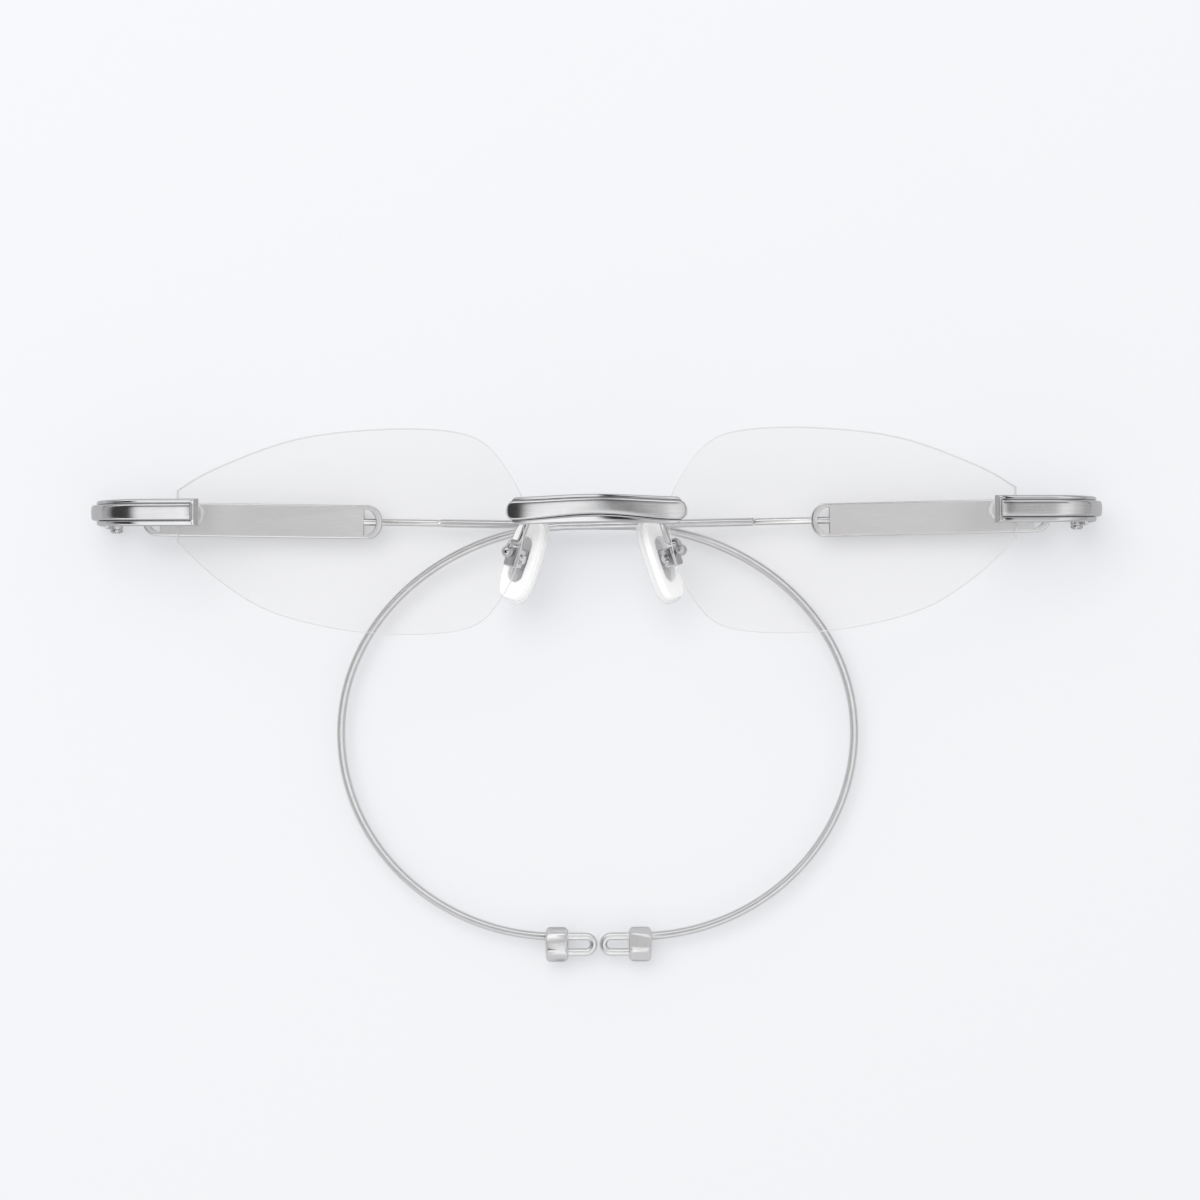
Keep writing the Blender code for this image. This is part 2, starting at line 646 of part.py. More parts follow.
def make_hinge_screw(name, side, body):
    head_top = -FRONT_KNUCKLE_END - KNUCKLE_FACE_GAP
    head_bottom = head_top - HINGE_SCREW_HEAD_HEIGHT
    shank = hinge_rod(
        name, side, head_top - HINGE_SCREW_HEAD_HEIGHT / 2, FRONT_KNUCKLE_END + HINGE_SCREW_TIP, HINGE_SCREW_RADIUS
    )
    screw = add_object(name, shank, body, POLISHED_METAL)
    head = hinge_rod(name + "_head", side, head_bottom, head_top, HINGE_SCREW_HEAD_RADIUS, FINE)
    combine(screw, add_object(head.name, head, body), "UNION")
    x = side * HINGE_X
    y = HINGE_CENTRE_Y + head_bottom
    slot = box_mesh(
        name + "_slot",
        (x - SCREW_SLOT_WIDTH / 2, y - SCREW_SLOT_DEPTH, HINGE_Z - 2 * HINGE_SCREW_HEAD_RADIUS),
        (x + SCREW_SLOT_WIDTH / 2, y + SCREW_SLOT_DEPTH, HINGE_Z + 2 * HINGE_SCREW_HEAD_RADIUS),
    )
    combine(screw, add_object(slot.name, slot, body), "DIFFERENCE")
    return screw


# Temples, in places along the temple line from the hinge towards and past the middle

def temple_point(x, rise=0.0, z=HINGE_Z):
    """A point of the sloping temple line at a distance x from the middle plane."""
    return (x, TEMPLE_LINE_Y - (HINGE_X - x) * math.tan(TEMPLE_SLOPE) + rise, z)


def make_temple_hinge(name, side, body):
    knuckle = hinge_rod(name, side, -TEMPLE_KNUCKLE_HALF, TEMPLE_KNUCKLE_HALF, KNUCKLE_RADIUS, FINE)
    hinge = add_object(name, knuckle, body, SATIN_METAL)
    start = HINGE_X - (HINGE_BORE_RADIUS + KNUCKLE_RADIUS) / 2
    end = PLATE_OUTER_X - WINDOW_BASE - TEMPLE_WIRE_SEAT
    shank = rod_mesh(
        name + "_shank",
        on_side(temple_point(start), side),
        on_side(temple_point(end), side),
        TEMPLE_WIRE_RADIUS,
    )
    combine(hinge, add_object(shank.name, shank, body), "UNION")
    bore = hinge_rod(name + "_bore", side, -FRONT_KNUCKLE_END, FRONT_KNUCKLE_END, HINGE_BORE_RADIUS)
    combine(hinge, add_object(bore.name, bore, body), "DIFFERENCE")
    return hinge


def make_temple_plate(name, side, body):
    """The plate is drawn about its own middle, then laid along the temple line."""
    half_length, half_height = PLATE_LENGTH / 2, PLATE_HEIGHT / 2
    end_x = half_length - PLATE_END_ROUND
    right_end = arc_points((end_x, 0.0), PLATE_END_ROUND, half_height, 90, -90, 10)
    outline = right_end + [(-x, -y) for x, y in right_end]
    window_x = half_length - WINDOW_BASE
    window = arc_points((window_x, 0.0), WINDOW_WIDTH, WINDOW_HEIGHT / 2, 90, -90, 8)
    other_window = [(-x, -y) for x, y in window]
    plate = flat_mesh(name, [outline, window, other_window], PLATE_THICKNESS, PLATE_EDGE_ROUND)
    middle = on_side(temple_point((PLATE_OUTER_X + PLATE_INNER_X) / 2), side)
    plate.transform(Matrix.Translation(middle) @ Matrix.Rotation(side * TEMPLE_SLOPE, 4, "Z"))
    piece = add_object(name, plate, body, SATIN_METAL)
    seat = WINDOW_BASE + TEMPLE_WIRE_SEAT + TEMPLE_WIRE_CLEARANCE
    for label, outside, inside in (
        ("hinge", PLATE_OUTER_X + WINDOW_RIM, PLATE_OUTER_X - seat),
        ("cable", PLATE_INNER_X - WINDOW_RIM, PLATE_INNER_X + seat),
    ):
        bore = rod_mesh(
            f"{name}_{label}_bore",
            on_side(temple_point(outside), side),
            on_side(temple_point(inside), side),
            TEMPLE_WIRE_RADIUS + TEMPLE_WIRE_CLEARANCE,
        )
        combine(piece, add_object(bore.name, bore, body), "DIFFERENCE")
    return piece


def make_temple_wire(name, side, body):
    start = on_side(temple_point(PLATE_INNER_X + WINDOW_BASE + TEMPLE_WIRE_SEAT), side)
    end = on_side(temple_point(BARE_WIRE_END_X), side)
    wire = add_object(name, rod_mesh(name, start, end, TEMPLE_WIRE_RADIUS), body, SATIN_METAL)
    seat = rod_mesh(
        name + "_seat",
        on_side(temple_point(BARE_WIRE_END_X - CORE_SEAT), side),
        on_side(temple_point(BARE_WIRE_END_X + CORE_SEAT + CORE_CLEARANCE), side),
        CORE_RADIUS + CORE_CLEARANCE,
        sides=8,
    )
    combine(wire, add_object(seat.name, seat, body), "DIFFERENCE")
    return wire


# Ear hooks

def crossing_z(x, side):
    """Height of a cable at a place x along it: over or under the other one near the middle."""
    level = HINGE_Z + side * CROSSING_OFFSET
    if x > 0:
        return level + (HINGE_Z - level) * ease(CROSSING_FLAT, CROSSING_FLAT + CROSSING_RAMP, x)
    return level + (HOOK_Z - level) * ease(CROSSING_FLAT, CROSSING_FLAT + 2 * CROSSING_RAMP, -x)


def hook_route(side, start_x):
    """The cable's centre line from start_x beside the plate, over the middle, to its seat in the end nut."""
    straight = [start_x]
    straight += [CROSSING_FLAT + CROSSING_RAMP * step / RAMP_STEPS for step in range(RAMP_STEPS, -1, -1)]
    straight += [CROSSING_FLAT / 2, 0.0]
    points = [temple_point(x, z=crossing_z(x, side)) for x in straight if x <= start_x]
    top_y = temple_point(-HOOK_START_PAST_MIDDLE)[1]
    widest_y = top_y - HOOK_UPPER_DROP
    quarters = (
        arc_points((-HOOK_START_PAST_MIDDLE, widest_y), HOOK_HALF_WIDTH - HOOK_START_PAST_MIDDLE,
                   HOOK_UPPER_DROP, 90, 180, HOOK_STEPS),
        arc_points((-HOOK_END_X, widest_y), HOOK_HALF_WIDTH - HOOK_END_X, HOOK_LOWER_DROP, 180, 270, HOOK_STEPS)[1:],
    )
    for quarter in quarters:
        points += [(x, y, crossing_z(x, side) if y > widest_y else HOOK_Z) for x, y in quarter]
    return [on_side(point, side) for point in points]


def hook_end_y():
    return temple_point(-HOOK_START_PAST_MIDDLE)[1] - HOOK_UPPER_DROP - HOOK_LOWER_DROP


def make_cable_core(name, side, body):
    route = hook_route(side, BARE_WIRE_END_X - WINDING_END_GAP)
    seated = on_side(temple_point(BARE_WIRE_END_X + CORE_SEAT), side)
    return add_object(name, tube_mesh(name, [seated] + route, CORE_RADIUS, 1), body, SPRING_METAL)


def make_cable_winding(name, side, body):
    route = hook_route(side, BARE_WIRE_END_X - WINDING_END_GAP)
    seat_gap = on_side((-END_NUT_SEAT_CLEARANCE, 0.0, 0.0), side)
    route = route[:-1] + [route[-1] + seat_gap]
    winding = add_object(name, tube_mesh(name, route, WINDING_RADIUS), body, SPRING_METAL)
    before = route[0] + (route[0] - route[1]).normalized() * WINDING_RADIUS
    past = route[-1] - seat_gap.normalized() * WINDING_RADIUS
    bore = tube_mesh(name + "_bore", [before] + route + [past], BORE_IN_WINDING, 1)
    combine(winding, add_object(bore.name, bore, body), "DIFFERENCE")
    return winding


def make_end_nut(name, side, body):
    cable_y = hook_end_y()
    nut_y = cable_y - LOOP_BEND_RADIUS
    outer = (-side * END_NUT_OUTER_X, nut_y, HOOK_Z)
    inner = (-side * END_NUT_INNER_X, nut_y, HOOK_Z)
    nut = add_object(
        name, rod_mesh(name, outer, inner, END_NUT_CORNER_RADIUS, sides=6, turn=END_NUT_TURN), body, POLISHED_METAL
    )
    turned = rod_mesh(name + "_turned", outer, inner, END_NUT_CORNER_RADIUS, FINE, chamfer=END_NUT_CHAMFER)
    combine(nut, add_object(turned.name, turned, body), "INTERSECT")
    cable_seat = rod_mesh(
        name + "_cable_seat",
        (-side * (END_NUT_OUTER_X + END_NUT_CABLE_SEAT), cable_y, HOOK_Z),
        (-side * (HOOK_END_X - END_NUT_SEAT_CLEARANCE), cable_y, HOOK_Z),
        WINDING_RADIUS + END_NUT_SEAT_CLEARANCE,
    )
    combine(nut, add_object(cable_seat.name, cable_seat, body), "DIFFERENCE")
    for label, rise in (("upper", LOOP_BEND_RADIUS), ("lower", -LOOP_BEND_RADIUS)):
        leg_seat = rod_mesh(
            f"{name}_{label}_seat",
            (-side * (END_NUT_INNER_X - LOOP_SEAT), nut_y + rise, HOOK_Z),
            (-side * (END_NUT_INNER_X + LOOP_SEAT + END_NUT_SEAT_CLEARANCE), nut_y + rise, HOOK_Z),
            LOOP_WIRE_RADIUS + END_NUT_SEAT_CLEARANCE,
        )
        combine(nut, add_object(leg_seat.name, leg_seat, body), "DIFFERENCE")
    return nut


def make_end_loop(name, side, body):
    nut_y = hook_end_y() - LOOP_BEND_RADIUS
    leg_end = END_NUT_INNER_X + LOOP_SEAT
    bend_x = LOOP_TIP_TO_MIDDLE + LOOP_WIRE_RADIUS + LOOP_BEND_RADIUS
    bend = arc_points((-bend_x, nut_y), LOOP_BEND_RADIUS, LOOP_BEND_RADIUS, 90, -90, 8)
    line = [(-leg_end, nut_y + LOOP_BEND_RADIUS)] + bend + [(-leg_end, nut_y - LOOP_BEND_RADIUS)]
    points = [on_side((x, y, HOOK_Z), side) for x, y in line]
    return add_object(name, tube_mesh(name, points, LOOP_WIRE_RADIUS), body, POLISHED_METAL)


# Nose pads, drawn about the pad's middle: x away from the nose, y up the pad, z its front edge

def pad_place(label):
    """Where a pad's middle lies and how it stands, for the right side of a face."""
    turn = PAD_TURN[label]
    stance = Matrix.Rotation(PAD_TILT, 4, "Z") @ Matrix.Rotation(-turn, 4, "Y")
    box = Vector((
        NOSE_EDGE_X + PAD_BOX_PAST_LENS_EDGE + PAD_SPREAD[label],
        PAD_BOX_Y,
        LENS_FRONT_Z - lens_sag(NOSE_EDGE_X, BROW_Y) - LENS_THICKNESS - PAD_BOX_BEHIND_LENS,
    ))
    return Matrix.Translation(box) @ stance @ Matrix.Translation((-PAD_BOX_OVER_PAD, 0.0, 0.0))


def stadium(length, width, steps=8):
    half = (length - width) / 2
    top = arc_points((0.0, half), width / 2, width / 2, 0, 180, steps)
    return top + [(-x, -y) for x, y in top]


def lay_on_pad(mesh, side, place, height):
    """Take a plate drawn with y along the pad and put its middle plane at a height over the pad's own."""
    mesh.transform(Matrix.Translation((height * side, 0.0, 0.0)) @ Matrix.Rotation(math.radians(90), 4, "Y"))
    mesh.transform(place)
    return mesh


def make_nose_pad(name, side, place, body):
    half_width, half_length = PAD_WIDTH / 2, PAD_LENGTH / 2
    outline = [
        (math.copysign(abs(x) ** PAD_OUTLINE_POWER, x) * half_width,
         math.copysign(abs(y) ** PAD_OUTLINE_POWER, y) * half_length)
        for x, y in arc_points((0.0, 0.0), 1.0, 1.0, 0, 360, FINE)[:-1]
    ]
    pad = flat_mesh(name, [outline], PAD_THICKNESS, PAD_EDGE_ROUND, 1)
    piece = add_object(name, lay_on_pad(pad, side, place, 0.0), body, CLEAR_SILICONE)
    depth = PAD_THICKNESS - POCKET_FLOOR
    pocket = flat_mesh(name + "_pocket", [stadium(POCKET_LENGTH, POCKET_WIDTH)], 2 * depth)
    pocket = lay_on_pad(pocket, side, place, POCKET_FLOOR - PAD_THICKNESS / 2 + depth)
    combine(piece, add_object(pocket.name, pocket, body), "DIFFERENCE")
    return piece


def make_pad_insert(name, side, place, body):
    low = POCKET_FLOOR - PAD_THICKNESS / 2 + INSERT_GAP
    outline = stadium(POCKET_LENGTH - 2 * INSERT_GAP, POCKET_WIDTH - 2 * INSERT_GAP)
    plate = flat_mesh(name, [outline], INSERT_THICKNESS)
    plate = lay_on_pad(plate, side, place, low + INSERT_THICKNESS / 2)
    insert = add_object(name, plate, body, SATIN_METAL)
    lug_half = PAD_BOX_WIDTH / 2 - PAD_BOX_WALL - PAD_LUG_CLEARANCE
    neck = box_mesh(
        name + "_neck",
        (side * (low + INSERT_THICKNESS / 2), -PAD_LUG_RADIUS, -lug_half),
        (side * PAD_BOX_OVER_PAD, PAD_LUG_RADIUS, lug_half),
        place,
    )
    combine(insert, add_object(neck.name, neck, body), "UNION")
    hub_x = side * PAD_BOX_OVER_PAD
    hub = rod_mesh(name + "_hub", place @ Vector((hub_x, 0.0, -lug_half)), place @ Vector((hub_x, 0.0, lug_half)),
                   PAD_LUG_RADIUS)
    combine(insert, add_object(hub.name, hub, body), "UNION")
    bore_radius = PAD_SCREW_RADIUS + THREAD_CLEARANCE
    bore = rod_mesh(name + "_bore", place @ Vector((hub_x, 0.0, -PAD_BOX_WIDTH)),
                    place @ Vector((hub_x, 0.0, PAD_BOX_WIDTH)), bore_radius, COARSE)
    combine(insert, add_object(bore.name, bore, body), "DIFFERENCE")
    return insert


def make_pad_box(name, side, place, body):
    half = Vector((PAD_BOX_DEPTH, PAD_BOX_HEIGHT, PAD_BOX_WIDTH)) / 2
    middle = PAD_BOX_OVER_PAD
    shell = box_mesh(name, (side * (middle - half.x), -half.y, -half.z), (side * (middle + half.x), half.y, half.z),
                     place)
    box = add_object(name, shell, body, POLISHED_METAL)
    round_edges(box, PAD_BOX_WALL / 2)
    slot_half = half.z - PAD_BOX_WALL
    slot_top = middle + PAD_LUG_RADIUS + PAD_LUG_CLEARANCE
    slot = box_mesh(name + "_slot", (side * (middle - PAD_BOX_DEPTH), -PAD_BOX_HEIGHT, -slot_half),
                    (side * slot_top, PAD_BOX_HEIGHT, slot_half), place)
    combine(box, add_object(slot.name, slot, body), "DIFFERENCE")
    bore = rod_mesh(name + "_bore", place @ Vector((side * middle, 0.0, -PAD_BOX_WIDTH)),
                    place @ Vector((side * middle, 0.0, PAD_BOX_WIDTH)), PAD_SCREW_RADIUS + THREAD_CLEARANCE,
                    COARSE)
    combine(box, add_object(bore.name, bore, body), "DIFFERENCE")
    return box


def make_pad_screw(name, side, place, body):
    x = side * PAD_BOX_OVER_PAD
    face = PAD_BOX_WIDTH / 2 + THREAD_CLEARANCE
    top = face + PAD_SCREW_HEAD_HEIGHT
    shank = rod_mesh(name, place @ Vector((x, 0.0, -PAD_BOX_WIDTH / 2)),
                     place @ Vector((x, 0.0, face + PAD_SCREW_HEAD_HEIGHT / 2)), PAD_SCREW_RADIUS, COARSE)
    screw = add_object(name, shank, body, POLISHED_METAL)
    head = rod_mesh(name + "_head", place @ Vector((x, 0.0, face)), place @ Vector((x, 0.0, top)),
                    PAD_SCREW_HEAD_RADIUS)
    combine(screw, add_object(head.name, head, body), "UNION")
    slot_depth = PAD_SCREW_HEAD_HEIGHT / 2
    slot = box_mesh(name + "_slot", (x - PAD_SCREW_HEAD_RADIUS * 2, -SCREW_SLOT_WIDTH / 2, top - slot_depth),
                    (x + PAD_SCREW_HEAD_RADIUS * 2, SCREW_SLOT_WIDTH / 2, top + slot_depth), place)
    combine(screw, add_object(slot.name, slot, body), "DIFFERENCE")
    return screw


def make_pad_arm(name, side, label, place, body):
    """From the back of the bridge, down the gap beside the lens edge and behind the lens to the box."""
    spread = PAD_SPREAD[label]
    start_x = NOSE_EDGE_X - PAD_ARM_LENS_GAP - PAD_ARM_RADIUS
    half_length = NOSE_EDGE_X + BRIDGE_LAP
    start_z = bridge_back(start_x, half_length) - PAD_ARM_SEAT_GAP
    lens_back = LENS_FRONT_Z - lens_sag(NOSE_EDGE_X, BROW_Y) - LENS_THICKNESS
    ball_x = PAD_BOX_OVER_PAD + PAD_BOX_DEPTH / 2 + PAD_ARM_SEAT_GAP + PAD_BALL_RADIUS
    side_of_box = PAD_BOX_HEIGHT / 2 + 2 * PAD_ARM_RADIUS
    free = [
        Vector((start_x, BROW_Y - PAD_ARM_RADIUS, start_z)),
        Vector((start_x, BROW_Y - PAD_ARM_FIRST_DROP, (start_z + lens_back) / 2)),
    ]
    for way_out, spread_share, drop, depth in PAD_ARM_BENDS:
        free.append(Vector((start_x + way_out + spread_share * spread, BROW_Y - drop, lens_back - depth)))
    right_place = mirrored(place, side)
    by_box = [
        right_place @ Vector((ball_x - PAD_BALL_RADIUS - PAD_ARM_RADIUS, side_of_box, PAD_ARM_RADIUS)),
        right_place @ Vector((ball_x - PAD_ARM_RADIUS / 2, side_of_box - PAD_ARM_RADIUS, 0.0)),
        right_place @ Vector((ball_x, PAD_BALL_RISE, 0.0)),
    ]
    line = smooth_outline([tuple(point) for point in free + by_box], 3)
    points = [on_side(point, side) for point in line]
    arm = add_object(name, tube_mesh(name, points, PAD_ARM_RADIUS), body, POLISHED_METAL)
    ball = bmesh.new()
    centre = Matrix.Translation(points[-1])
    bmesh.ops.create_uvsphere(ball, u_segments=ROUND, v_segments=COARSE, radius=PAD_BALL_RADIUS, matrix=centre)
    ball_mesh = finish_mesh(name + "_ball", ball)
    combine(arm, add_object(ball_mesh.name, ball_mesh, body), "UNION")
    return arm


def make_front(body):
    make_bridge(body)
    for label, side in SIDES.items():
        make_lens(f"lens_{label}", side, body)
        make_endpiece(f"endpiece_{label}", side, body)
        make_front_hinge(f"front_hinge_{label}", side, body)
        make_hinge_screw(f"hinge_screw_{label}", side, body)
        for place, x, washer_radius, nut_radius in (
            ("bridge", BRIDGE_STUD_X, BRIDGE_WASHER_RADIUS, BRIDGE_NUT_RADIUS),
            ("endpiece", ENDPIECE_STUD_X, ENDPIECE_WASHER_RADIUS, ENDPIECE_NUT_RADIUS),
        ):
            make_washer(f"{place}_washer_{label}", side * x, washer_radius, body)
            make_stud_nut(f"{place}_nut_{label}", side * x, nut_radius, body)


def make_pads(label, side, front):
    place = mirrored(pad_place(label), side)
    pivot = place @ Vector((side * PAD_BOX_OVER_PAD, 0.0, 0.0))
    make_pad_arm(f"pad_arm_{label}", side, label, place, front)
    make_pad_box(f"pad_box_{label}", side, place, front)
    make_pad_screw(f"pad_screw_{label}", side, place, front)
    pad_body = new_body(f"pad_{label}_pivot", pivot)
    make_nose_pad(f"nose_pad_{label}", side, place, pad_body)
    make_pad_insert(f"pad_insert_{label}", side, place, pad_body)


def make_temple(label, side):
    body = new_body(f"temple_{label}_pivot", (side * HINGE_X, HINGE_CENTRE_Y, HINGE_Z))
    make_temple_hinge(f"temple_hinge_{label}", side, body)
    make_temple_plate(f"temple_plate_{label}", side, body)
    make_temple_wire(f"temple_wire_{label}", side, body)
    make_cable_core(f"cable_core_{label}", side, body)
    make_cable_winding(f"cable_winding_{label}", side, body)
    make_end_nut(f"end_nut_{label}", side, body)
    make_end_loop(f"end_loop_{label}", side, body)


FRONT = new_body("front")
make_front(FRONT)
for LABEL, SIDE in SIDES.items():
    make_pads(LABEL, SIDE, FRONT)
    make_temple(LABEL, SIDE)
bpy.context.view_layer.update()
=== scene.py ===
"""Rimless glasses with cable ear hooks, lying folded on a pale table."""
import math

import bmesh
import bpy
import numpy as np
from mathutils import Matrix, Vector


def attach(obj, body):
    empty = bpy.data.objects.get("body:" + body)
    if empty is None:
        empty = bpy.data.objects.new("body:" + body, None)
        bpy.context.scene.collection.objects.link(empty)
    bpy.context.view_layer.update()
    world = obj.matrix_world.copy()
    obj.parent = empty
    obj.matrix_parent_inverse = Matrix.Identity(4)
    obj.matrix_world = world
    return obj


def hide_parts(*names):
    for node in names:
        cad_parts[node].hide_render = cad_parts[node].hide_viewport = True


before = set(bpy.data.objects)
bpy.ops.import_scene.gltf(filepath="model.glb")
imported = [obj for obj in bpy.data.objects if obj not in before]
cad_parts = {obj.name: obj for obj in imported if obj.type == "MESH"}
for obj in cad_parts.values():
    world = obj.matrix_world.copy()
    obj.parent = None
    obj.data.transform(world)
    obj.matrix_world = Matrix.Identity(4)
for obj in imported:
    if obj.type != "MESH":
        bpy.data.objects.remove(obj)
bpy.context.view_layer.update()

# Camera
# It stands 480 mm over the table and looks straight down on the folded glasses, which lie turned by a
# quarter of a degree in its picture. All lengths in this file are in millimetres until they are built.
mm = 0.001
camera_place, camera_turn = (0.43, 14.09, 480.0), -0.25
sensor_width, focal_length = 36.0, 98.0
nearest, farthest = 10.0, 20000.0


def add(name, data):
    """Put a new object in the scene."""
    made = bpy.data.objects.new(name, data)
    bpy.context.scene.collection.objects.link(made)
    return made


camera_data = bpy.data.cameras.new("camera_over_table")
camera_data.sensor_width = sensor_width
camera_data.lens = focal_length
camera_data.clip_start = nearest * mm
camera_data.clip_end = farthest * mm
camera = add("camera_over_table", camera_data)
camera.location = [length * mm for length in camera_place]
camera.rotation_euler = (0.0, 0.0, math.radians(camera_turn))
bpy.context.scene.camera = camera
bpy.context.scene.view_settings.view_transform = "Standard"

# Table
# A pale frosted glass table. The camera sees most of its lit face with the shadows on it, and a share of the
# even white of the room below, through which the opened temples show. Its colour in reflections is a painted
# darker tone, so the metal mirrors it a little darker.
table_half, table_drop = 1500.0, 0.02
table_colour, table_roughness = (0.875, 0.885, 0.905), 0.9
# The table's colour as the metal mirrors it: a painted darker reflection, below its lit colour
mirrored_table = (0.60, 0.60, 0.61)
clear_share = 0.36


def feed(tree, user, inputs):
    """Give a shader node its inputs, by name or number, as values or as the sockets that feed them."""
    for key, value in inputs.items():
        if isinstance(value, bpy.types.NodeSocket):
            tree.links.new(value, user.inputs[key])
        else:
            user.inputs[key].default_value = value


def node(tree, kind, inputs=None, **settings):
    """Add a shader node with its settings and its inputs."""
    made = tree.nodes.new(kind)
    for name, value in settings.items():
        setattr(made, name, value)
    feed(tree, made, inputs or {})
    return made


def maths(tree, operation, *values):
    """What an operation makes of values or sockets."""
    return node(tree, "ShaderNodeMath", dict(enumerate(values)), operation=operation).outputs[0]


def blend(tree, share, first, second):
    """Two shaders mixed by the share of the second."""
    return node(tree, "ShaderNodeMixShader", {0: share, 1: first, 2: second}).outputs[0]


def tones(tree, share, first, second):
    """Two colours mixed by the share of the second."""
    colours = {0: share, 6: (*first, 1.0), 7: (*second, 1.0)}
    return node(tree, "ShaderNodeMix", colours, data_type="RGBA").outputs[2]


def finish_of(name):
    """A new material with nodes, and its tree and Principled shader."""
    material = bpy.data.materials.new(name)
    material.use_nodes = True
    return material, material.node_tree, material.node_tree.nodes["Principled BSDF"]


table_finish, tree, shader = finish_of("frosted_table")
ray = node(tree, "ShaderNodeLightPath").outputs
table_tone = tones(tree, ray["Is Glossy Ray"], table_colour, mirrored_table)
feed(tree, shader, {"Base Color": table_tone, "Roughness": table_roughness, "Specular IOR Level": 0.0})
glass = node(tree, "ShaderNodeBsdfTransparent").outputs[0]
seen_share = maths(tree, "MULTIPLY", ray["Is Camera Ray"], clear_share)
frosted = blend(tree, seen_share, shader.outputs[0], glass)
feed(tree, tree.nodes["Material Output"], {"Surface": frosted})

lowered = Matrix.Translation((0.0, 0.0, -table_drop * mm))
table_shape = bmesh.new()
bmesh.ops.create_grid(table_shape, x_segments=1, y_segments=1, size=table_half * mm, matrix=lowered)
table_mesh = bpy.data.meshes.new("table")
table_shape.to_mesh(table_mesh)
table_shape.free()
table_mesh.materials.append(table_finish)
table = add("table", table_mesh)

# Studio
# One big soft lamp from the brow side and the left, in an even pale room. What the metal mirrors is a
# softbox, the dark camera stand with its arm, and grey walls, which the room's sky holds by direction.
lamp_place, lamp_sides, lamp_power = (-370.0, 550.0, 1100.0), (1200.0, 900.0), 6.5
room_light, mirrored_walls = 0.77, 0.52
room_colour, white = (0.896, 0.913, 0.939), (1.0, 1.0, 1.0)
# Mirrored areas: brightness, the angles from straight up in degrees, towards the right and the brow, between
# which they lie, and the half widths of their soft edges on the left, the right and along
mirrored_areas = [
    (0.70, (5.5, 62), (-90, 90), (1.5, 12, 5)),
    (1.02, (13, 38), (-90, 90), (4, 14, 5)),
    (1.32, (-60, 0.9), (-70, 70), (8, 0.8, 8)),
    (1.6, (-45, 30), (42, 68), (8, 8, 4)),
    (0.25, (-30, 30), (17, 31), (6, 6, 4)),
    (0.06, (-66, -14), (-42, 36), (11, 8, 6)),
    (0.08, (-90, 90), (74, 92), (5, 5, 5)),
    (0.02, (0.7, 5.6), (-13, 92), (0.8, 1.0, 5)),
]

lamp_data = bpy.data.lights.new("soft_lamp", "AREA")
lamp_data.shape = "RECTANGLE"
lamp_data.size, lamp_data.size_y = (length * mm for length in lamp_sides)
lamp_data.energy = lamp_power
lamp = add("soft_lamp", lamp_data)
lamp.location = [length * mm for length in lamp_place]
lamp.rotation_euler = (-Vector(lamp.location)).to_track_quat("-Z", "Y").to_euler()
lamp.visible_glossy = False

world = bpy.data.worlds.new("room")
world.use_nodes = True
world.cycles.sampling_method = "NONE"
bpy.context.scene.world = world
sky = world.node_tree
sky.nodes.clear()


def band(angle, low, high, low_soft, high_soft):
    """1 where an angle lies between two others, falling off softly to 0 outside them."""
    shares = [
        node(
            sky, "ShaderNodeMapRange", {"Value": angle, "From Min": start, "From Max": end},
            interpolation_type="SMOOTHSTEP",
        ).outputs["Result"]
        for start, end in ((low - low_soft, low + low_soft), (high + high_soft, high - high_soft))
    ]
    return maths(sky, "MULTIPLY", *shares)


def background(colour, strength):
    return node(sky, "ShaderNodeBackground", {"Color": (*colour, 1.0), "Strength": strength}).outputs[0]


direction = node(sky, "ShaderNodeTexCoord").outputs["Generated"]
way = node(sky, "ShaderNodeSeparateXYZ", {"Vector": direction}).outputs
to_right, to_brow = (
    maths(sky, "DEGREES", maths(sky, "ARCTAN2", way[axis], way["Z"])) for axis in ("X", "Y")
)
mirrored = mirrored_walls
for brightness, across, along, (left_soft, right_soft, along_soft) in mirrored_areas:
    share = maths(
        sky, "MULTIPLY",
        band(to_right, *across, left_soft, right_soft), band(to_brow, *along, along_soft, along_soft),
    )
    values = {0: share, 2: mirrored, 3: brightness}
    mirrored = node(sky, "ShaderNodeMix", values, data_type="FLOAT").outputs[0]
ray = node(sky, "ShaderNodeLightPath").outputs
lit = blend(sky, ray["Is Glossy Ray"], background(white, room_light), background(white, mirrored))
seen_share = maths(sky, "MAXIMUM", ray["Is Camera Ray"], ray["Is Transmission Ray"])
node(sky, "ShaderNodeOutputWorld", {"Surface": blend(sky, seen_share, lit, background(room_colour, 1.0))})

# Lenses
# Clear optical plastic, 1.8 mm thick and gently curved, cut to a leaf outline with a straight outer end.
# The faces are polished, and the edge is ground matt with a small safety bevel. Two holes take the studs.
nose_edge, brow_y = 10.3, 26.87
lens_width, lens_height, lens_thickness = 49.8, 29.5, 1.8
lens_centre, lens_front, lens_radius = (35.2, 23.97), 13.927, 260.0
lens_bevel, edge_slope = 0.13, 0.3
stud_x = {"bridge": 11.9, "endpiece": 58.1}
stud_hole, hole_ahead, hole_behind = 0.8, 1.0, 5.0
# The outline, from -1 to 1 of half the width and height, and the rings of points inside it as shares of it
leaf = [
    (-1.000, 0.413), (-0.787, 0.617), (-0.350, 0.888), (0.093, 0.990), (0.530, 0.986), (0.773, 0.854),
    (0.942, 0.485), (1.000, 0.183), (0.964, -0.290), (0.861, -0.658), (0.707, -0.915), (0.418, -0.997),
    (-0.016, -0.959), (-0.458, -0.773), (-0.767, -0.454), (-1.000, -0.088),
]
leaf_steps = 9
lens_rings = (0.985, 0.94, 0.86, 0.75, 0.62, 0.48, 0.34, 0.20, 0.08)
lens_tint, coat_power = (0.990, 0.986, 0.985), 5.0
edge_colour, edge_alpha, plastic_ior = (0.78, 0.785, 0.79), 0.6, 1.5
